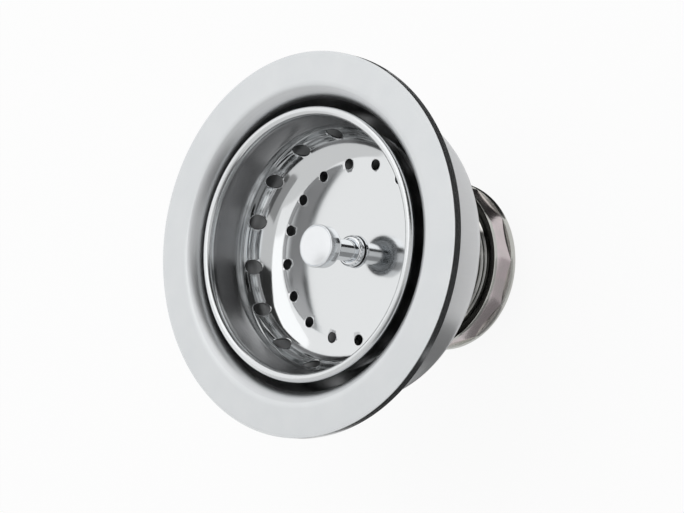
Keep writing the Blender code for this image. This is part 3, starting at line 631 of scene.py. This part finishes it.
def moulded_rubber(tree, shader, colors):
    # Black nitrile rubber, moulded: a dull near-black with a fine grain and paler bloom in patches
    bloom = patches(tree, 5 * MM, 4.0)
    grit = patches(tree, 0.4 * MM)
    tones = {0: (bloom, 0), 6: tint(colors.rubber), 7: tint(colors.rubber_bloom)}
    coat(tree, shader, tones, bloom, (0.5, 0.75), grit, 0.3, 0.04 * MM, IOR=1.52)


def pressed_fibre(tree, shader, colors):
    # Vulcanised fibre punched from sheet: a matt brown with short fibres lying every way
    fibres = patches(tree, 0.6 * MM, 5.0)
    tones = {0: (fibres, 0), 6: tint(colors.fibre_shade), 7: tint(colors.fibre)}
    coat(tree, shader, tones, fibres, (0.75, 0.95), fibres, 0.4, 0.05 * MM, IOR=1.5)


def moulded_nylon(tree, shader, colors):
    # Natural nylon, moulded: a milky ivory with a waxy gloss and faint flow marks
    flow = streaks(tree, 12 * MM, 2 * MM)
    tones = {0: (flow, 0), 6: tint(colors.nylon_shade), 7: tint(colors.nylon)}
    coat(tree, shader, tones, flow, (0.35, 0.5), flow, 0.15, 0.03 * MM, IOR=1.53)


# The pieces


class STRAINER_OT_flange_bowl(bpy.types.Operator):
    """Turns the flange with its bowl, funnel and neck from one sheet."""

    bl_idname = "strainer.flange_bowl"
    bl_label = "Flange and bowl"

    def execute(self, context):
        sizes = context.scene.strainer_flange
        throat, flange, _, neck_end = span("flange_bowl")
        slope = math.degrees(sizes.funnel_slope)
        edge_center = (flange - sizes.edge_round, sizes.edge_round)
        lip_center = (
            sizes.opening_radius + sizes.lip_round * math.sin(sizes.lip_end),
            sizes.lip_round * math.cos(sizes.lip_start),
        )
        lip_turn = (270 - math.degrees(sizes.lip_start), 270 - math.degrees(sizes.lip_end))
        corner_center = (sizes.opening_radius - sizes.corner_round, sizes.wall_depth)
        funnel_top = arc(corner_center, sizes.corner_round, 0, 90 - slope)
        throat_center_radius = throat + sizes.throat_round
        funnel_run = funnel_top[-1][0] - throat_center_radius
        funnel_run += sizes.throat_round * math.sin(sizes.funnel_slope)
        funnel_end = funnel_top[-1][1] + funnel_run * math.tan(sizes.funnel_slope)
        throat_depth = funnel_end + sizes.throat_round * math.cos(sizes.funnel_slope)
        path = [(flange, sizes.edge_drop)]
        path += arc(edge_center, sizes.edge_round, 0, -90)
        path += arc(lip_center, sizes.lip_round, *lip_turn)
        path += funnel_top
        path += arc((throat_center_radius, throat_depth), sizes.throat_round, 270 - slope, 180)
        path.append((throat, neck_end))
        piece = turn("sink_flange_and_bowl", sheet_outline(split_long(path), sizes.sheet))
        settle(piece, "strainer_body", "flange_bowl", satin_stainless_steel)
        return {"FINISHED"}


class STRAINER_OT_clamp_cup(bpy.types.Operator):
    """Turns the cup that clamps the sink from below."""

    bl_idname = "strainer.clamp_cup"
    bl_label = "Clamp cup"

    def execute(self, context):
        sizes = context.scene.strainer_flange
        hole, rim, rim_depth, bottom = span("outer_cup")
        inner = sizes.opening_radius + sizes.sheet + sizes.cup_clearance
        corner_round = sizes.cup_corner_round - sizes.sheet
        corner_center = (inner - corner_round, sizes.wall_depth + sizes.cup_corner_drop)
        rim_round = sizes.cup_rim_round + sizes.sheet
        rim_center = (inner + rim_round, rim_depth + rim_round)
        seat = (hole + sizes.cup_seat_width, bottom - sizes.sheet)
        slope = math.degrees(tangent_slope(seat, corner_center, corner_round))
        path = [(rim, rim_depth)]
        path += arc(rim_center, rim_round, 270, 180)
        path += arc(corner_center, corner_round, 0, 90 - slope)
        path += [seat, (hole, bottom - sizes.sheet)]
        piece = turn("clamp_cup_steel", sheet_outline(split_long(path), sizes.sheet))
        settle(piece, "clamp_cup", "outer_cup", rolled_stainless_steel)
        return {"FINISHED"}


class STRAINER_OT_basket(bpy.types.Operator):
    """Turns the basket and pierces its wall and floor."""

    bl_idname = "strainer.basket"
    bl_label = "Basket"

    hole_sides = 48
    # Degrees between the points of the round that mirrors most clearly
    mirror_step = 3.0
    # How much wider than high the step back under the rim's band is
    band_ramp = 3
    # Points that the cuts leave closer than this are one
    sliver = 0.04 * MM

    def execute(self, context):
        sizes = context.scene.strainer_basket
        bush_hole, _, _, bottom = span("basket_shell")
        floor_depth = bottom - sizes.sheet
        bowl_depth = floor_depth - sizes.bowl_round
        band_radius = sizes.rim_radius - 2 * sizes.bead_radius
        floor_radius = band_radius - sizes.wall_taper - sizes.step_in - sizes.bowl_round
        path = self.rim_and_wall(sizes, band_radius, bowl_depth)
        path += arc((floor_radius, bowl_depth), sizes.bowl_round, 0, 90, self.mirror_step)[1:]
        path.append((bush_hole, floor_depth))
        piece = turn("pierced_basket", sheet_outline(split_long(path), sizes.sheet))
        cut(piece, self.hole_cutters(sizes, floor_radius, bowl_depth))
        bpy.ops.object.mode_set(mode="EDIT")
        weld(self.sliver)
        bpy.ops.object.mode_set(mode="OBJECT")
        soften(piece, sizes.hole_edge_round, 2, False)
        settle(piece, "basket", "basket_shell", spun_stainless_steel)
        return {"FINISHED"}

    def rim_and_wall(self, sizes, band_radius, bowl_depth):
        """The path from the curl's end round the curl and down the wall to the foot of its step."""
        wall_radius = band_radius - sizes.wall_taper
        bowl_radius = wall_radius - sizes.step_in
        step_depth = bowl_depth - sizes.step_height
        step_turn = 2 * math.atan2(sizes.step_in, sizes.step_height)
        step_round = sizes.step_height / (2 * math.sin(step_turn))
        swing = math.degrees(step_turn)
        bead_center = (sizes.rim_radius - sizes.bead_radius, sizes.rim_depth)
        path = arc(bead_center, sizes.bead_radius, 90, -180, 2 * ARC_STEP)
        path.append((band_radius, sizes.band_depth))
        path.append((band_radius + sizes.band_step, sizes.band_depth + sizes.band_step / self.band_ramp))
        path += arc((wall_radius - step_round, step_depth), step_round, 0, swing)
        path += arc((bowl_radius + step_round, bowl_depth), step_round, 180 + swing, 180)[1:]
        return path

    def hole_cutters(self, sizes, floor_radius, bowl_depth):
        """The cutters of both rings of holes, joined to one piece."""
        tilt = sizes.wall_hole_tilt
        down = sizes.bowl_round * math.sin(tilt)
        wall_spot = spot((floor_radius + sizes.bowl_round * math.cos(tilt), bowl_depth + down))
        lean = Matrix.Rotation(math.pi / 2 + tilt, 4, "Y")
        wall_half = (sizes.wall_hole_half_length, sizes.wall_hole_half_width, CUT_REACH)
        wall_tool = Matrix.Translation(wall_spot) @ lean @ Matrix.Diagonal((*wall_half, 1))
        floor_spot = spot((floor_radius - sizes.floor_hole_inset, bowl_depth + sizes.bowl_round))
        floor_half = (sizes.floor_hole_radius, sizes.floor_hole_radius, CUT_REACH)
        floor_tool = Matrix.Translation(floor_spot) @ Matrix.Diagonal((*floor_half, 1))
        cutters = []
        for i in range(sizes.hole_count):
            around = Matrix.Rotation(sizes.hole_start + math.tau * i / sizes.hole_count, 4, "Z")
            cutters.append(placed_cylinder(around @ wall_tool, self.hole_sides))
            cutters.append(placed_cylinder(around @ floor_tool, self.hole_sides))
        return join(cutters)


class STRAINER_OT_spigot(bpy.types.Operator):
    """Turns the spigot and winds its thread."""

    bl_idname = "strainer.spigot"
    bl_label = "Threaded spigot"

    # How far the thread is sunk into its root, and half its width at the crest and the root, in pitches
    thread_root_sink = 0.05 * MM
    crest_share = 0.12
    root_share = 0.44

    def execute(self, context):
        sizes = context.scene.strainer_fittings
        bore, crest, top, end = span("threaded_spigot")
        root = crest - sizes.thread_depth
        outline = [
            (sizes.spigot_counterbore, top),
            (root, top),
            (root, end - sizes.spigot_chamfer),
            (root - sizes.spigot_chamfer / 2, end),
            (bore, end),
            (bore, sizes.ledge_depth),
            (sizes.spigot_counterbore, sizes.ledge_depth),
        ]
        body = turn("spigot_with_thread", outline)
        piece = join([body, self.wind_thread(sizes, root, crest, top, end)])
        settle(piece, "strainer_body", "threaded_spigot", nickel_plated_brass)
        return {"FINISHED"}

    def wind_thread(self, sizes, root, crest, top, end):
        """Winds the thread's section up round the axis and closes its two ends."""
        half_root = sizes.thread_pitch * self.root_share
        half_crest = sizes.thread_pitch * self.crest_share
        middle = end - sizes.spigot_chamfer / 2 - half_root
        sunk = root - self.thread_root_sink
        section = [
            (sunk, middle + half_root),
            (root, middle + half_root),
            (crest, middle + half_crest),
            (crest, middle - half_crest),
            (root, middle - half_root),
            (sunk, middle - half_root),
        ]
        thread = draw_outline("thread", section + section[:1])
        weld()
        bpy.ops.object.mode_set(mode="OBJECT")
        shape_with(
            thread,
            "SCREW",
            axis="Z",
            steps=SMALL_TURN_STEPS,
            render_steps=SMALL_TURN_STEPS,
            screw_offset=sizes.thread_pitch,
            iterations=int((end - sizes.spigot_chamfer - top) / sizes.thread_pitch) - 1,
            use_merge_vertices=False,
        )
        bpy.ops.object.mode_set(mode="EDIT")
        bpy.ops.mesh.select_all(action="DESELECT")
        bpy.ops.mesh.select_mode(type="EDGE")
        bpy.ops.mesh.select_non_manifold()
        bpy.ops.mesh.fill()
        weld()
        bpy.ops.mesh.select_mode(type="VERT")
        bpy.ops.object.mode_set(mode="OBJECT")
        return thread


class STRAINER_OT_coupling_nut(bpy.types.Operator):
    """Turns the coupling nut and sinks its flats between the two collars."""

    bl_idname = "strainer.coupling_nut"
    bl_label = "Coupling nut"

    def execute(self, context):
        sizes = context.scene.strainer_fittings
        bore, radius, top, bottom = span("coupling_nut")
        thread_hole = span("clamp_locknut")[0]
        lip_top = bottom - sizes.nut_lip
        outline = ring_outline(thread_hole, radius, top, bottom)[:3]
        outline += [(bore, bottom), (bore, lip_top), (thread_hole, lip_top)]
        piece = turn("coupling_nut_casting", outline)
        corner = (radius - sizes.nut_flat_depth) / math.cos(math.pi / sizes.nut_flats)
        flats_top, flats_bottom = top + sizes.nut_front_collar, bottom - sizes.nut_rear_collar
        around = ring_outline(corner, radius + CUT_REACH, flats_top, flats_bottom)
        band = turn("flats", around, sizes.nut_flats)
        for made in (piece, band):
            made.data.transform(Matrix.Rotation(sizes.nut_turn, 4, "Z"))
        cut(piece, band)
        soften(piece, sizes.cast_round)
        settle(piece, "pipe_nut", "coupling_nut", passivated_zinc)
        return {"FINISHED"}


class STRAINER_OT_locknut(bpy.types.Operator):
    """Turns the locknut and joins its lugs to it."""

    bl_idname = "strainer.locknut"
    bl_label = "Locknut"

    def execute(self, context):
        sizes = context.scene.strainer_fittings
        hole, tip, top, bottom = span("clamp_locknut")
        radius = math.sqrt(tip**2 - (sizes.lug_width / 2) ** 2) - sizes.lug_reach
        piece = turn("clamp_locknut_casting", ring_outline(hole, radius, top, bottom))
        root = (hole + radius) / 2
        reach = radius + sizes.lug_reach - root
        middle = Matrix.Translation(spot((root + reach / 2, (top + bottom) / 2)))
        lug = middle @ Matrix.Diagonal((reach, sizes.lug_width, sizes.lug_height, 1))
        steps = range(sizes.lug_count)
        turns = [Matrix.Rotation(math.tau * i / sizes.lug_count, 4, "Z") for i in steps]
        cut(piece, join([placed_block(around @ lug) for around in turns]), "UNION")
        soften(piece, sizes.cast_round)
        settle(piece, "locknut", "clamp_locknut", passivated_zinc)
        return {"FINISHED"}


class STRAINER_OT_post(bpy.types.Operator):
    """Turns the post with its knob and collar."""

    bl_idname = "strainer.post"
    bl_label = "Post and knob"

    # Degrees between the points of the knob's domed face
    face_step = 1.0

    def execute(self, context):
        sizes = context.scene.strainer_fittings
        radius = span("post_shaft")[1] + sizes.post_growth
        for name, node, outline, closed, build in (
            ("post_rod", "post_shaft", self.rod(sizes, radius), False, chrome_plated_brass),
            ("knob_drum", "knob_body", self.drum(sizes, radius), False, chrome_plated_brass),
            ("knob_face", "knob_cap", self.face(sizes), False, brushed_chrome_plate),
            ("post_ring", "post_collar", self.ring(sizes, radius), True, chrome_plated_brass),
        ):
            piece = turn(name, outline, SMALL_TURN_STEPS, closed)
            settle(piece, "post", node, build)
        return {"FINISHED"}

    def rod(self, sizes, radius):
        """Outline of the post, with its rounded tip."""
        _, _, top, tip = span("post_shaft")
        bend = sizes.post_tip_round
        return [(0.0, top), (radius, top)] + arc((radius - bend, tip - bend), bend, 0, 90) + [(0.0, tip)]

    def drum(self, sizes, radius):
        """Outline of the knob's side, its round underside and the socket on the post."""
        _, knob, _, bottom = span("knob_body")
        drum_top, drum_bottom = span("knob_cap")[3] + WELD, bottom + sizes.knob_skirt
        post_top = span("post_shaft")[2]
        bend = sizes.knob_round
        outline = [(0.0, drum_top), (knob, drum_top)]
        outline += arc((knob - bend, drum_bottom - bend), bend, 0, 90)
        return outline + [(radius, drum_bottom), (radius, post_top), (0.0, post_top)]

    def face(self, sizes):
        """Outline of the knob's domed face, the groove round it and the rim."""
        _, knob, top, bottom = span("knob_cap")
        face_radius, rim_top = knob - sizes.knob_rim, top + sizes.knob_dome
        groove = sizes.knob_groove
        sphere = (face_radius**2 + sizes.knob_dome**2) / (2 * sizes.knob_dome)
        spread = math.degrees(math.asin(face_radius / sphere))
        outline = arc((0.0, top + sphere), sphere, -90, spread - 90, self.face_step)
        outline += [(face_radius + groove / 2, rim_top + groove), (face_radius + groove, rim_top)]
        outline += arc((knob - groove, rim_top + groove), groove, 270, 360)
        return outline + [(knob, bottom), (0.0, bottom)]

    def ring(self, sizes, radius):
        """Outline of the collar, with the rounded ring on it."""
        _, collar, top, bottom = span("post_collar")
        bend, rise, chamfer = sizes.collar_round, sizes.collar_rise, sizes.collar_chamfer
        outline = [(radius, top - rise + chamfer), (radius + chamfer, top - rise)]
        outline += arc((collar - rise, top), rise, 270, 360)
        outline += arc((collar - bend, top + bend), bend, 270, 360)
        outline += arc((collar - bend, bottom - bend), bend, 0, 90)
        return outline + [(radius, bottom)]


class STRAINER_OT_stopper(bpy.types.Operator):
    """Turns the rubber stopper and the washers and the nut that hold it."""

    bl_idname = "strainer.stopper"
    bl_label = "Stopper"

    # How far the plug's shoulder drops below the seat, and how much the plug narrows to its end
    plug_shoulder = 0.32 * MM
    plug_taper = 1.0 * MM
    nut_sides = 6

    def execute(self, context):
        sizes = context.scene.strainer_fittings
        hole = span("rubber_stopper")[0]
        _, corner, top, bottom = span("stopper_nut")
        rubber = turn("stopper_rubber", self.rubber_outline(context.scene))
        upper = turn("stopper_top_washer", ring_outline(*span("stopper_washer")), SMALL_TURN_STEPS)
        lower = turn("stopper_low_washer", ring_outline(*span("stopper_retainer")), SMALL_TURN_STEPS)
        nut = turn("stopper_hex_nut", ring_outline(hole, corner, top, bottom), self.nut_sides)
        for piece, node, slot, build in (
            (rubber, "rubber_stopper", "rubber", moulded_rubber),
            (upper, "stopper_washer", "stainless", satin_stainless_steel),
            (lower, "stopper_retainer", "stainless", satin_stainless_steel),
            (nut, "stopper_nut", "brass", turned_brass),
        ):
            soften(piece, sizes.seal_round)
            settle(piece, "post", node, build)
        return {"FINISHED"}

    def rubber_outline(self, scene):
        """Outline of the stopper: a round edge, a seat that lies on the funnel and a plug for the throat."""
        bend, flange = scene.strainer_fittings.stopper_round, scene.strainer_flange
        hole, radius, top, bottom = span("rubber_stopper")
        throat = span("flange_bowl")[0]
        points = [vertex.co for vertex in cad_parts["rubber_stopper"].data.vertices]
        rim = [point for point in points if abs(math.hypot(point.x, point.y) - radius) < WELD]
        seat_depth = max(FACE - point.z for point in rim)
        seat_run = radius - throat - flange.throat_round
        seat_end = (radius - seat_run, seat_depth + seat_run * math.tan(flange.funnel_slope))
        plug = throat - FIT_GAP
        outline = [(hole, top)] + arc((radius - bend, top + bend), bend, 270, 360)
        outline += [(radius, seat_depth), seat_end, (plug, seat_end[1] + self.plug_shoulder)]
        return outline + [(plug - self.plug_taper, bottom), (hole, bottom)]


class STRAINER_OT_crossbar(bpy.types.Operator):
    """Makes the bar across the neck that guides the post, with its grommet."""

    bl_idname = "strainer.crossbar"
    bl_label = "Crossbar"

    def execute(self, context):
        sizes = context.scene.strainer_fittings
        hole, tip, top, bottom = span("post_crossbar")
        reach = math.sqrt(tip**2 - (sizes.crossbar_width / 2) ** 2)
        half = (bottom - top) / 2
        middle = Matrix.Translation(spot((0.0, (top + bottom) / 2)))
        bar = placed_block(middle @ Matrix.Diagonal((2 * reach, sizes.crossbar_width, 2 * half, 1)))
        bar.name = "guide_bar"
        bar.data.name = "guide_bar"
        hub = middle @ Matrix.Diagonal((sizes.crossbar_hub, sizes.crossbar_hub, half, 1))
        cut(bar, placed_cylinder(hub, SMALL_TURN_STEPS), "UNION")
        through = middle @ Matrix.Diagonal((hole, hole, half + CUT_REACH, 1))
        cut(bar, placed_cylinder(through, SMALL_TURN_STEPS))
        soften(bar, sizes.seal_round)
        settle(bar, "strainer_body", "post_crossbar", satin_stainless_steel)
        inner, flange, grommet_top, grommet_bottom = span("post_grommet")
        wall, shoulder = hole - FIT_GAP, top - FIT_GAP
        outline = ring_outline(inner, flange, grommet_top, shoulder)[:3]
        outline += [(wall, shoulder), (wall, grommet_bottom), (inner, grommet_bottom)]
        piece = turn("guide_grommet", outline, SMALL_TURN_STEPS)
        soften(piece, sizes.seal_round / 2)
        settle(piece, "strainer_body", "post_grommet", moulded_rubber)
        return {"FINISHED"}


class STRAINER_OT_seals(bpy.types.Operator):
    """Turns the gaskets and washers."""

    bl_idname = "strainer.seals"
    bl_label = "Gaskets and washers"

    bush_flange = 0.6 * MM

    def execute(self, context):
        sizes = context.scene.strainer_fittings
        for name, node, body, slot, build in (
            ("deck_gasket", "flange_gasket", "strainer_body", "rubber", moulded_rubber),
            ("under_deck_gasket", "sink_gasket", "clamp_cup", "rubber", moulded_rubber),
            ("neck_seal_ring", "neck_seal", "strainer_body", "rubber", moulded_rubber),
            ("fibre_friction_washer", "friction_washer", "clamp_cup", "fibre", pressed_fibre),
            ("nylon_slip_washer", "slip_washer", "slip_carrier", "nylon", moulded_nylon),
        ):
            piece = turn(name, ring_outline(*span(node)))
            soften(piece, sizes.seal_round)
            settle(piece, body, node, build)
        inner, flange, top, bottom = span("floor_bush")
        wall, shoulder = span("basket_shell")[0] - FIT_GAP, bottom - self.bush_flange
        outline = ring_outline(inner, wall, top, shoulder)[:3]
        outline += [(flange, shoulder), (flange, bottom), (inner, bottom)]
        piece = turn("basket_floor_bush", outline, SMALL_TURN_STEPS)
        soften(piece, sizes.seal_round / 2)
        settle(piece, "basket", "floor_bush", moulded_nylon)
        return {"FINISHED"}


# The stage

CAMERA_PLACE = Vector((0.0, -0.39373, FACE + 0.4348))
CAMERA_UP = Vector((0.9886, 0.1162, 0.0961))
CAMERA_BACK = Vector((0.0034, -0.6548, 0.7558))
CAMERA_LENS = 105.0
SENSOR_WIDTH = 36.0
CLIP_START = 0.01
FLOOR_HEIGHT = -8.5 * MM
FLOOR_SIZE = 20.0
CARD_DISTANCE = 1.0
KEY_DISTANCE = 0.9


class STRAINER_OT_stage(bpy.types.Operator):
    """Sets up the floor, the light, the cards that the metal mirrors and the camera."""

    bl_idname = "strainer.stage"
    bl_label = "Stage"

    # Each card's way round from +Y towards +X, its height, its half width and half height, all in degrees,
    # and its brightness
    cards = {
        "dark_card": (119, 28, 41, 36, 0.03),
        "low_card": (180, 0, 20, 13, 0.15),
        "camera_card": (180, 44, 20, 30, 0.64),
        "left_dark_card": (220, 13, 20, 20, 0.1),
        "left_card": (221, 46, 22, 14, 0.3),
        "side_card": (283, 36, 40, 40, 0.72),
    }
    # Each floor card's way round, the distance of its middle, its half width across that way, its half length
    # along it, and its brightness
    floor_cards = {
        "side_floor_card": (270, 0.0625, 0.09, 0.0175, 0.2),
        "back_floor_card": (51, 0.0945, 0.032, 0.027, 0.06),
        "near_dark_card": (106, 0.0352, 0.014, 0.008, 0.02),
        "near_white_card": (151, 0.038, 0.0098, 0.006, 0.7),
        "near_grey_card": (186, 0.0385, 0.0125, 0.006, 0.4),
        "near_shade_card": (226, 0.0375, 0.0145, 0.0065, 0.2),
    }
    # How much higher above the floor each of them lies than the one before
    floor_card_rise = 0.1 * MM
    # The dark arc that lies on the floor round the strainer's front: its radii, the way it starts at and how
    # far it goes round, in degrees, its width against its length, its height above the floor, its brightness
    arc_radii = (0.107, 0.15)
    arc_ways = (60, 240)
    arc_width = 0.88
    arc_rise = 0.3 * MM
    arc_glow = 0.03
    # The softbox's way round, height, half width, half height and roll
    key_way = (83, 58, 22, 33, -7)

    def execute(self, context):
        scene = context.scene
        scene.view_settings.view_transform = "Standard"
        self.set_world(scene)
        self.lay_floor(scene)
        self.hang_key(scene)
        for name, values in self.cards.items():
            self.stand_far_card(name, *values)
        rise = FLOOR_HEIGHT + self.arc_rise
        for name, (way, distance, half_width, half_length, brightness) in self.floor_cards.items():
            rise += self.floor_card_rise
            turned = Matrix.Rotation(-math.radians(way), 4, "Z")
            size = Matrix.Diagonal((half_width, half_length, 1, 1))
            self.stand_card(name, turned @ Matrix.Translation((0, distance, rise)) @ size, brightness)
        self.lay_arc()
        self.set_camera(scene)
        return {"FINISHED"}

    def set_world(self, scene):
        world = bpy.data.worlds.new("studio")
        scene.world = world
        world.use_nodes = True
        tree = world.node_tree
        seen = self.seen_rays(tree, 1.0, 1.0)
        strength = add_node(
            tree, "MapRange", {"Value": (seen, "Value"), "To Min": scene.strainer_light.fill}
        )
        background = tree.nodes["Background"]
        set_inputs(tree, background, {"Color": (1, 1, 1, 1), "Strength": (strength, "Result")})

    def seen_rays(self, tree, direct, mirrored):
        """One share for the camera's rays, and another for those that are mirrored or let through."""
        rays = add_node(tree, "LightPath")
        kinds = {0: (rays, "Is Glossy Ray"), 1: (rays, "Is Transmission Ray")}
        bent = add_node(tree, "Math", kinds, operation="MAXIMUM")
        dimmed = add_node(tree, "Math", {0: (bent, "Value"), 1: mirrored}, operation="MULTIPLY")
        total = {0: (rays, "Is Camera Ray"), 1: direct, 2: (dimmed, "Value")}
        return add_node(tree, "Math", total, operation="MULTIPLY_ADD")

    def lay_floor(self, scene):
        bpy.ops.object.select_all(action="DESELECT")
        bpy.ops.mesh.primitive_plane_add(size=FLOOR_SIZE, location=(0, 0, FLOOR_HEIGHT))
        floor = bpy.context.object
        floor.name = "floor"
        material = bpy.data.materials.new("matt_white_board")
        material.use_nodes = True
        tree = material.node_tree
        board = tree.nodes["Principled BSDF"]
        set_inputs(tree, board, {"Base Color": tint(scene.strainer_finishes.board), "Roughness": 0.95})
        light = scene.strainer_light
        seen = self.seen_rays(tree, light.floor_glow, light.floor_mirror)
        glow = add_node(tree, "Emission", {"Color": (1, 1, 1, 1), "Strength": 1.0})
        parts = {0: (seen, "Value"), 1: (board, "BSDF"), 2: (glow, "Emission")}
        mixed = add_node(tree, "MixShader", parts)
        set_inputs(tree, tree.nodes["Material Output"], {"Surface": (mixed, "Shader")})
        floor.data.materials.append(material)

    def lay_arc(self):
        start, sweep = (math.radians(way) for way in self.arc_ways)
        depth = FACE - FLOOR_HEIGHT - self.arc_rise
        piece = draw_outline("floor_arc", [(reach, depth) for reach in self.arc_radii])
        bpy.ops.mesh.select_all(action="SELECT")
        bpy.ops.mesh.spin(steps=SMALL_TURN_STEPS, angle=sweep, center=(0, 0, 0), axis=(0, 0, 1))
        bpy.ops.object.mode_set(mode="OBJECT")
        turned = Matrix.Rotation(math.pi / 2 - start, 4, "Z")
        piece.matrix_world = Matrix.Diagonal((self.arc_width, 1, 1, 1)) @ turned
        self.light_card(piece, self.arc_glow)

    def facing(self, way, height, distance, roll=0):
        """Where something stands so many degrees round and up, turned to face the strainer."""
        around, rise = math.radians(way), math.radians(height)
        flat = math.cos(rise)
        to_it = Vector((math.sin(around) * flat, math.cos(around) * flat, math.sin(rise)))
        turned = to_it.to_track_quat("Z", "Y").to_matrix().to_4x4()
        rolled = turned @ Matrix.Rotation(math.radians(roll), 4, "Z")
        return Matrix.Translation(Vector((0, 0, FACE)) + to_it * distance) @ rolled

    def half_sizes(self, half_width, half_height, distance):
        """Half the width and height of what takes up so many degrees each way at a distance."""
        return [distance * math.tan(math.radians(half)) for half in (half_width, half_height)]

    def hang_key(self, scene):
        """Hangs the softbox, with a black back that keeps the white behind it from shining through."""
        way, height, half_width, half_height, roll = self.key_way
        data = bpy.data.lights.new("softbox", "AREA")
        data.shape = "RECTANGLE"
        data.size, data.size_y = (2 * half for half in self.half_sizes(half_width, half_height, KEY_DISTANCE))
        data.energy = scene.strainer_light.key * math.pi * data.size * data.size_y
        softbox = bpy.data.objects.new("softbox", data)
        softbox.matrix_world = self.facing(way, height, KEY_DISTANCE, roll)
        scene.collection.objects.link(softbox)
        self.stand_far_card("softbox_back", way, height, half_width, half_height, 0.0, roll)

    def stand_far_card(self, name, way, height, half_width, half_height, brightness, roll=0):
        size = Matrix.Diagonal((*self.half_sizes(half_width, half_height, CARD_DISTANCE), 1, 1))
        self.stand_card(name, self.facing(way, height, CARD_DISTANCE, roll) @ size, brightness)

    def stand_card(self, name, place, brightness):
        bpy.ops.object.select_all(action="DESELECT")
        bpy.ops.mesh.primitive_plane_add(size=2.0)
        piece = bpy.context.object
        piece.name = name
        piece.matrix_world = place
        self.light_card(piece, brightness)

    def light_card(self, piece, brightness):
        """Makes a card of a piece that only mirrored rays see."""
        material = bpy.data.materials.new(piece.name)
        material.use_nodes = True
        tree = material.node_tree
        glow = add_node(tree, "Emission", {"Color": (1, 1, 1, 1), "Strength": brightness})
        set_inputs(tree, tree.nodes["Material Output"], {"Surface": (glow, "Emission")})
        piece.data.materials.append(material)
        piece.visible_camera = False
        piece.visible_diffuse = False
        piece.visible_shadow = False

    def set_camera(self, scene):
        data = bpy.data.cameras.new("camera")
        data.lens = CAMERA_LENS
        data.sensor_width = SENSOR_WIDTH
        data.clip_start = CLIP_START
        camera = bpy.data.objects.new("camera", data)
        scene.collection.objects.link(camera)
        back = CAMERA_BACK.normalized()
        right = CAMERA_UP.cross(back).normalized()
        up = back.cross(right)
        turned = Matrix((right, up, back)).transposed().to_4x4()
        camera.matrix_world = Matrix.Translation(CAMERA_PLACE) @ turned
        scene.camera = camera


class STRAINER_PT_panel(bpy.types.Panel):
    """Lists the steps in the sidebar."""

    bl_idname = "STRAINER_PT_panel"
    bl_label = "Basket strainer"
    bl_space_type = "VIEW_3D"
    bl_region_type = "UI"
    bl_category = "Strainer"

    def draw(self, context):
        for operator in OPERATORS:
            self.layout.operator(operator.bl_idname)


OPERATORS = (
    STRAINER_OT_flange_bowl,
    STRAINER_OT_clamp_cup,
    STRAINER_OT_basket,
    STRAINER_OT_spigot,
    STRAINER_OT_coupling_nut,
    STRAINER_OT_locknut,
    STRAINER_OT_post,
    STRAINER_OT_stopper,
    STRAINER_OT_crossbar,
    STRAINER_OT_seals,
    STRAINER_OT_stage,
)
GROUPS = {
    "strainer_flange": FlangeSizes,
    "strainer_basket": BasketSizes,
    "strainer_fittings": FittingSizes,
    "strainer_finishes": FinishColors,
    "strainer_light": StageLight,
}


def register():
    for made in (*GROUPS.values(), *OPERATORS, STRAINER_PT_panel):
        bpy.utils.register_class(made)
    for name, group in GROUPS.items():
        setattr(bpy.types.Scene, name, PointerProperty(type=group))


def unregister():
    for name in GROUPS:
        delattr(bpy.types.Scene, name)
    for made in (STRAINER_PT_panel, *reversed(OPERATORS), *reversed(GROUPS.values())):
        bpy.utils.unregister_class(made)


def main():
    register()
    bpy.ops.strainer.flange_bowl()
    bpy.ops.strainer.clamp_cup()
    bpy.ops.strainer.basket()
    bpy.ops.strainer.spigot()
    bpy.ops.strainer.coupling_nut()
    bpy.ops.strainer.locknut()
    bpy.ops.strainer.post()
    bpy.ops.strainer.stopper()
    bpy.ops.strainer.crossbar()
    bpy.ops.strainer.seals()
    bpy.ops.strainer.stage()


if __name__ == "__main__":
    main()
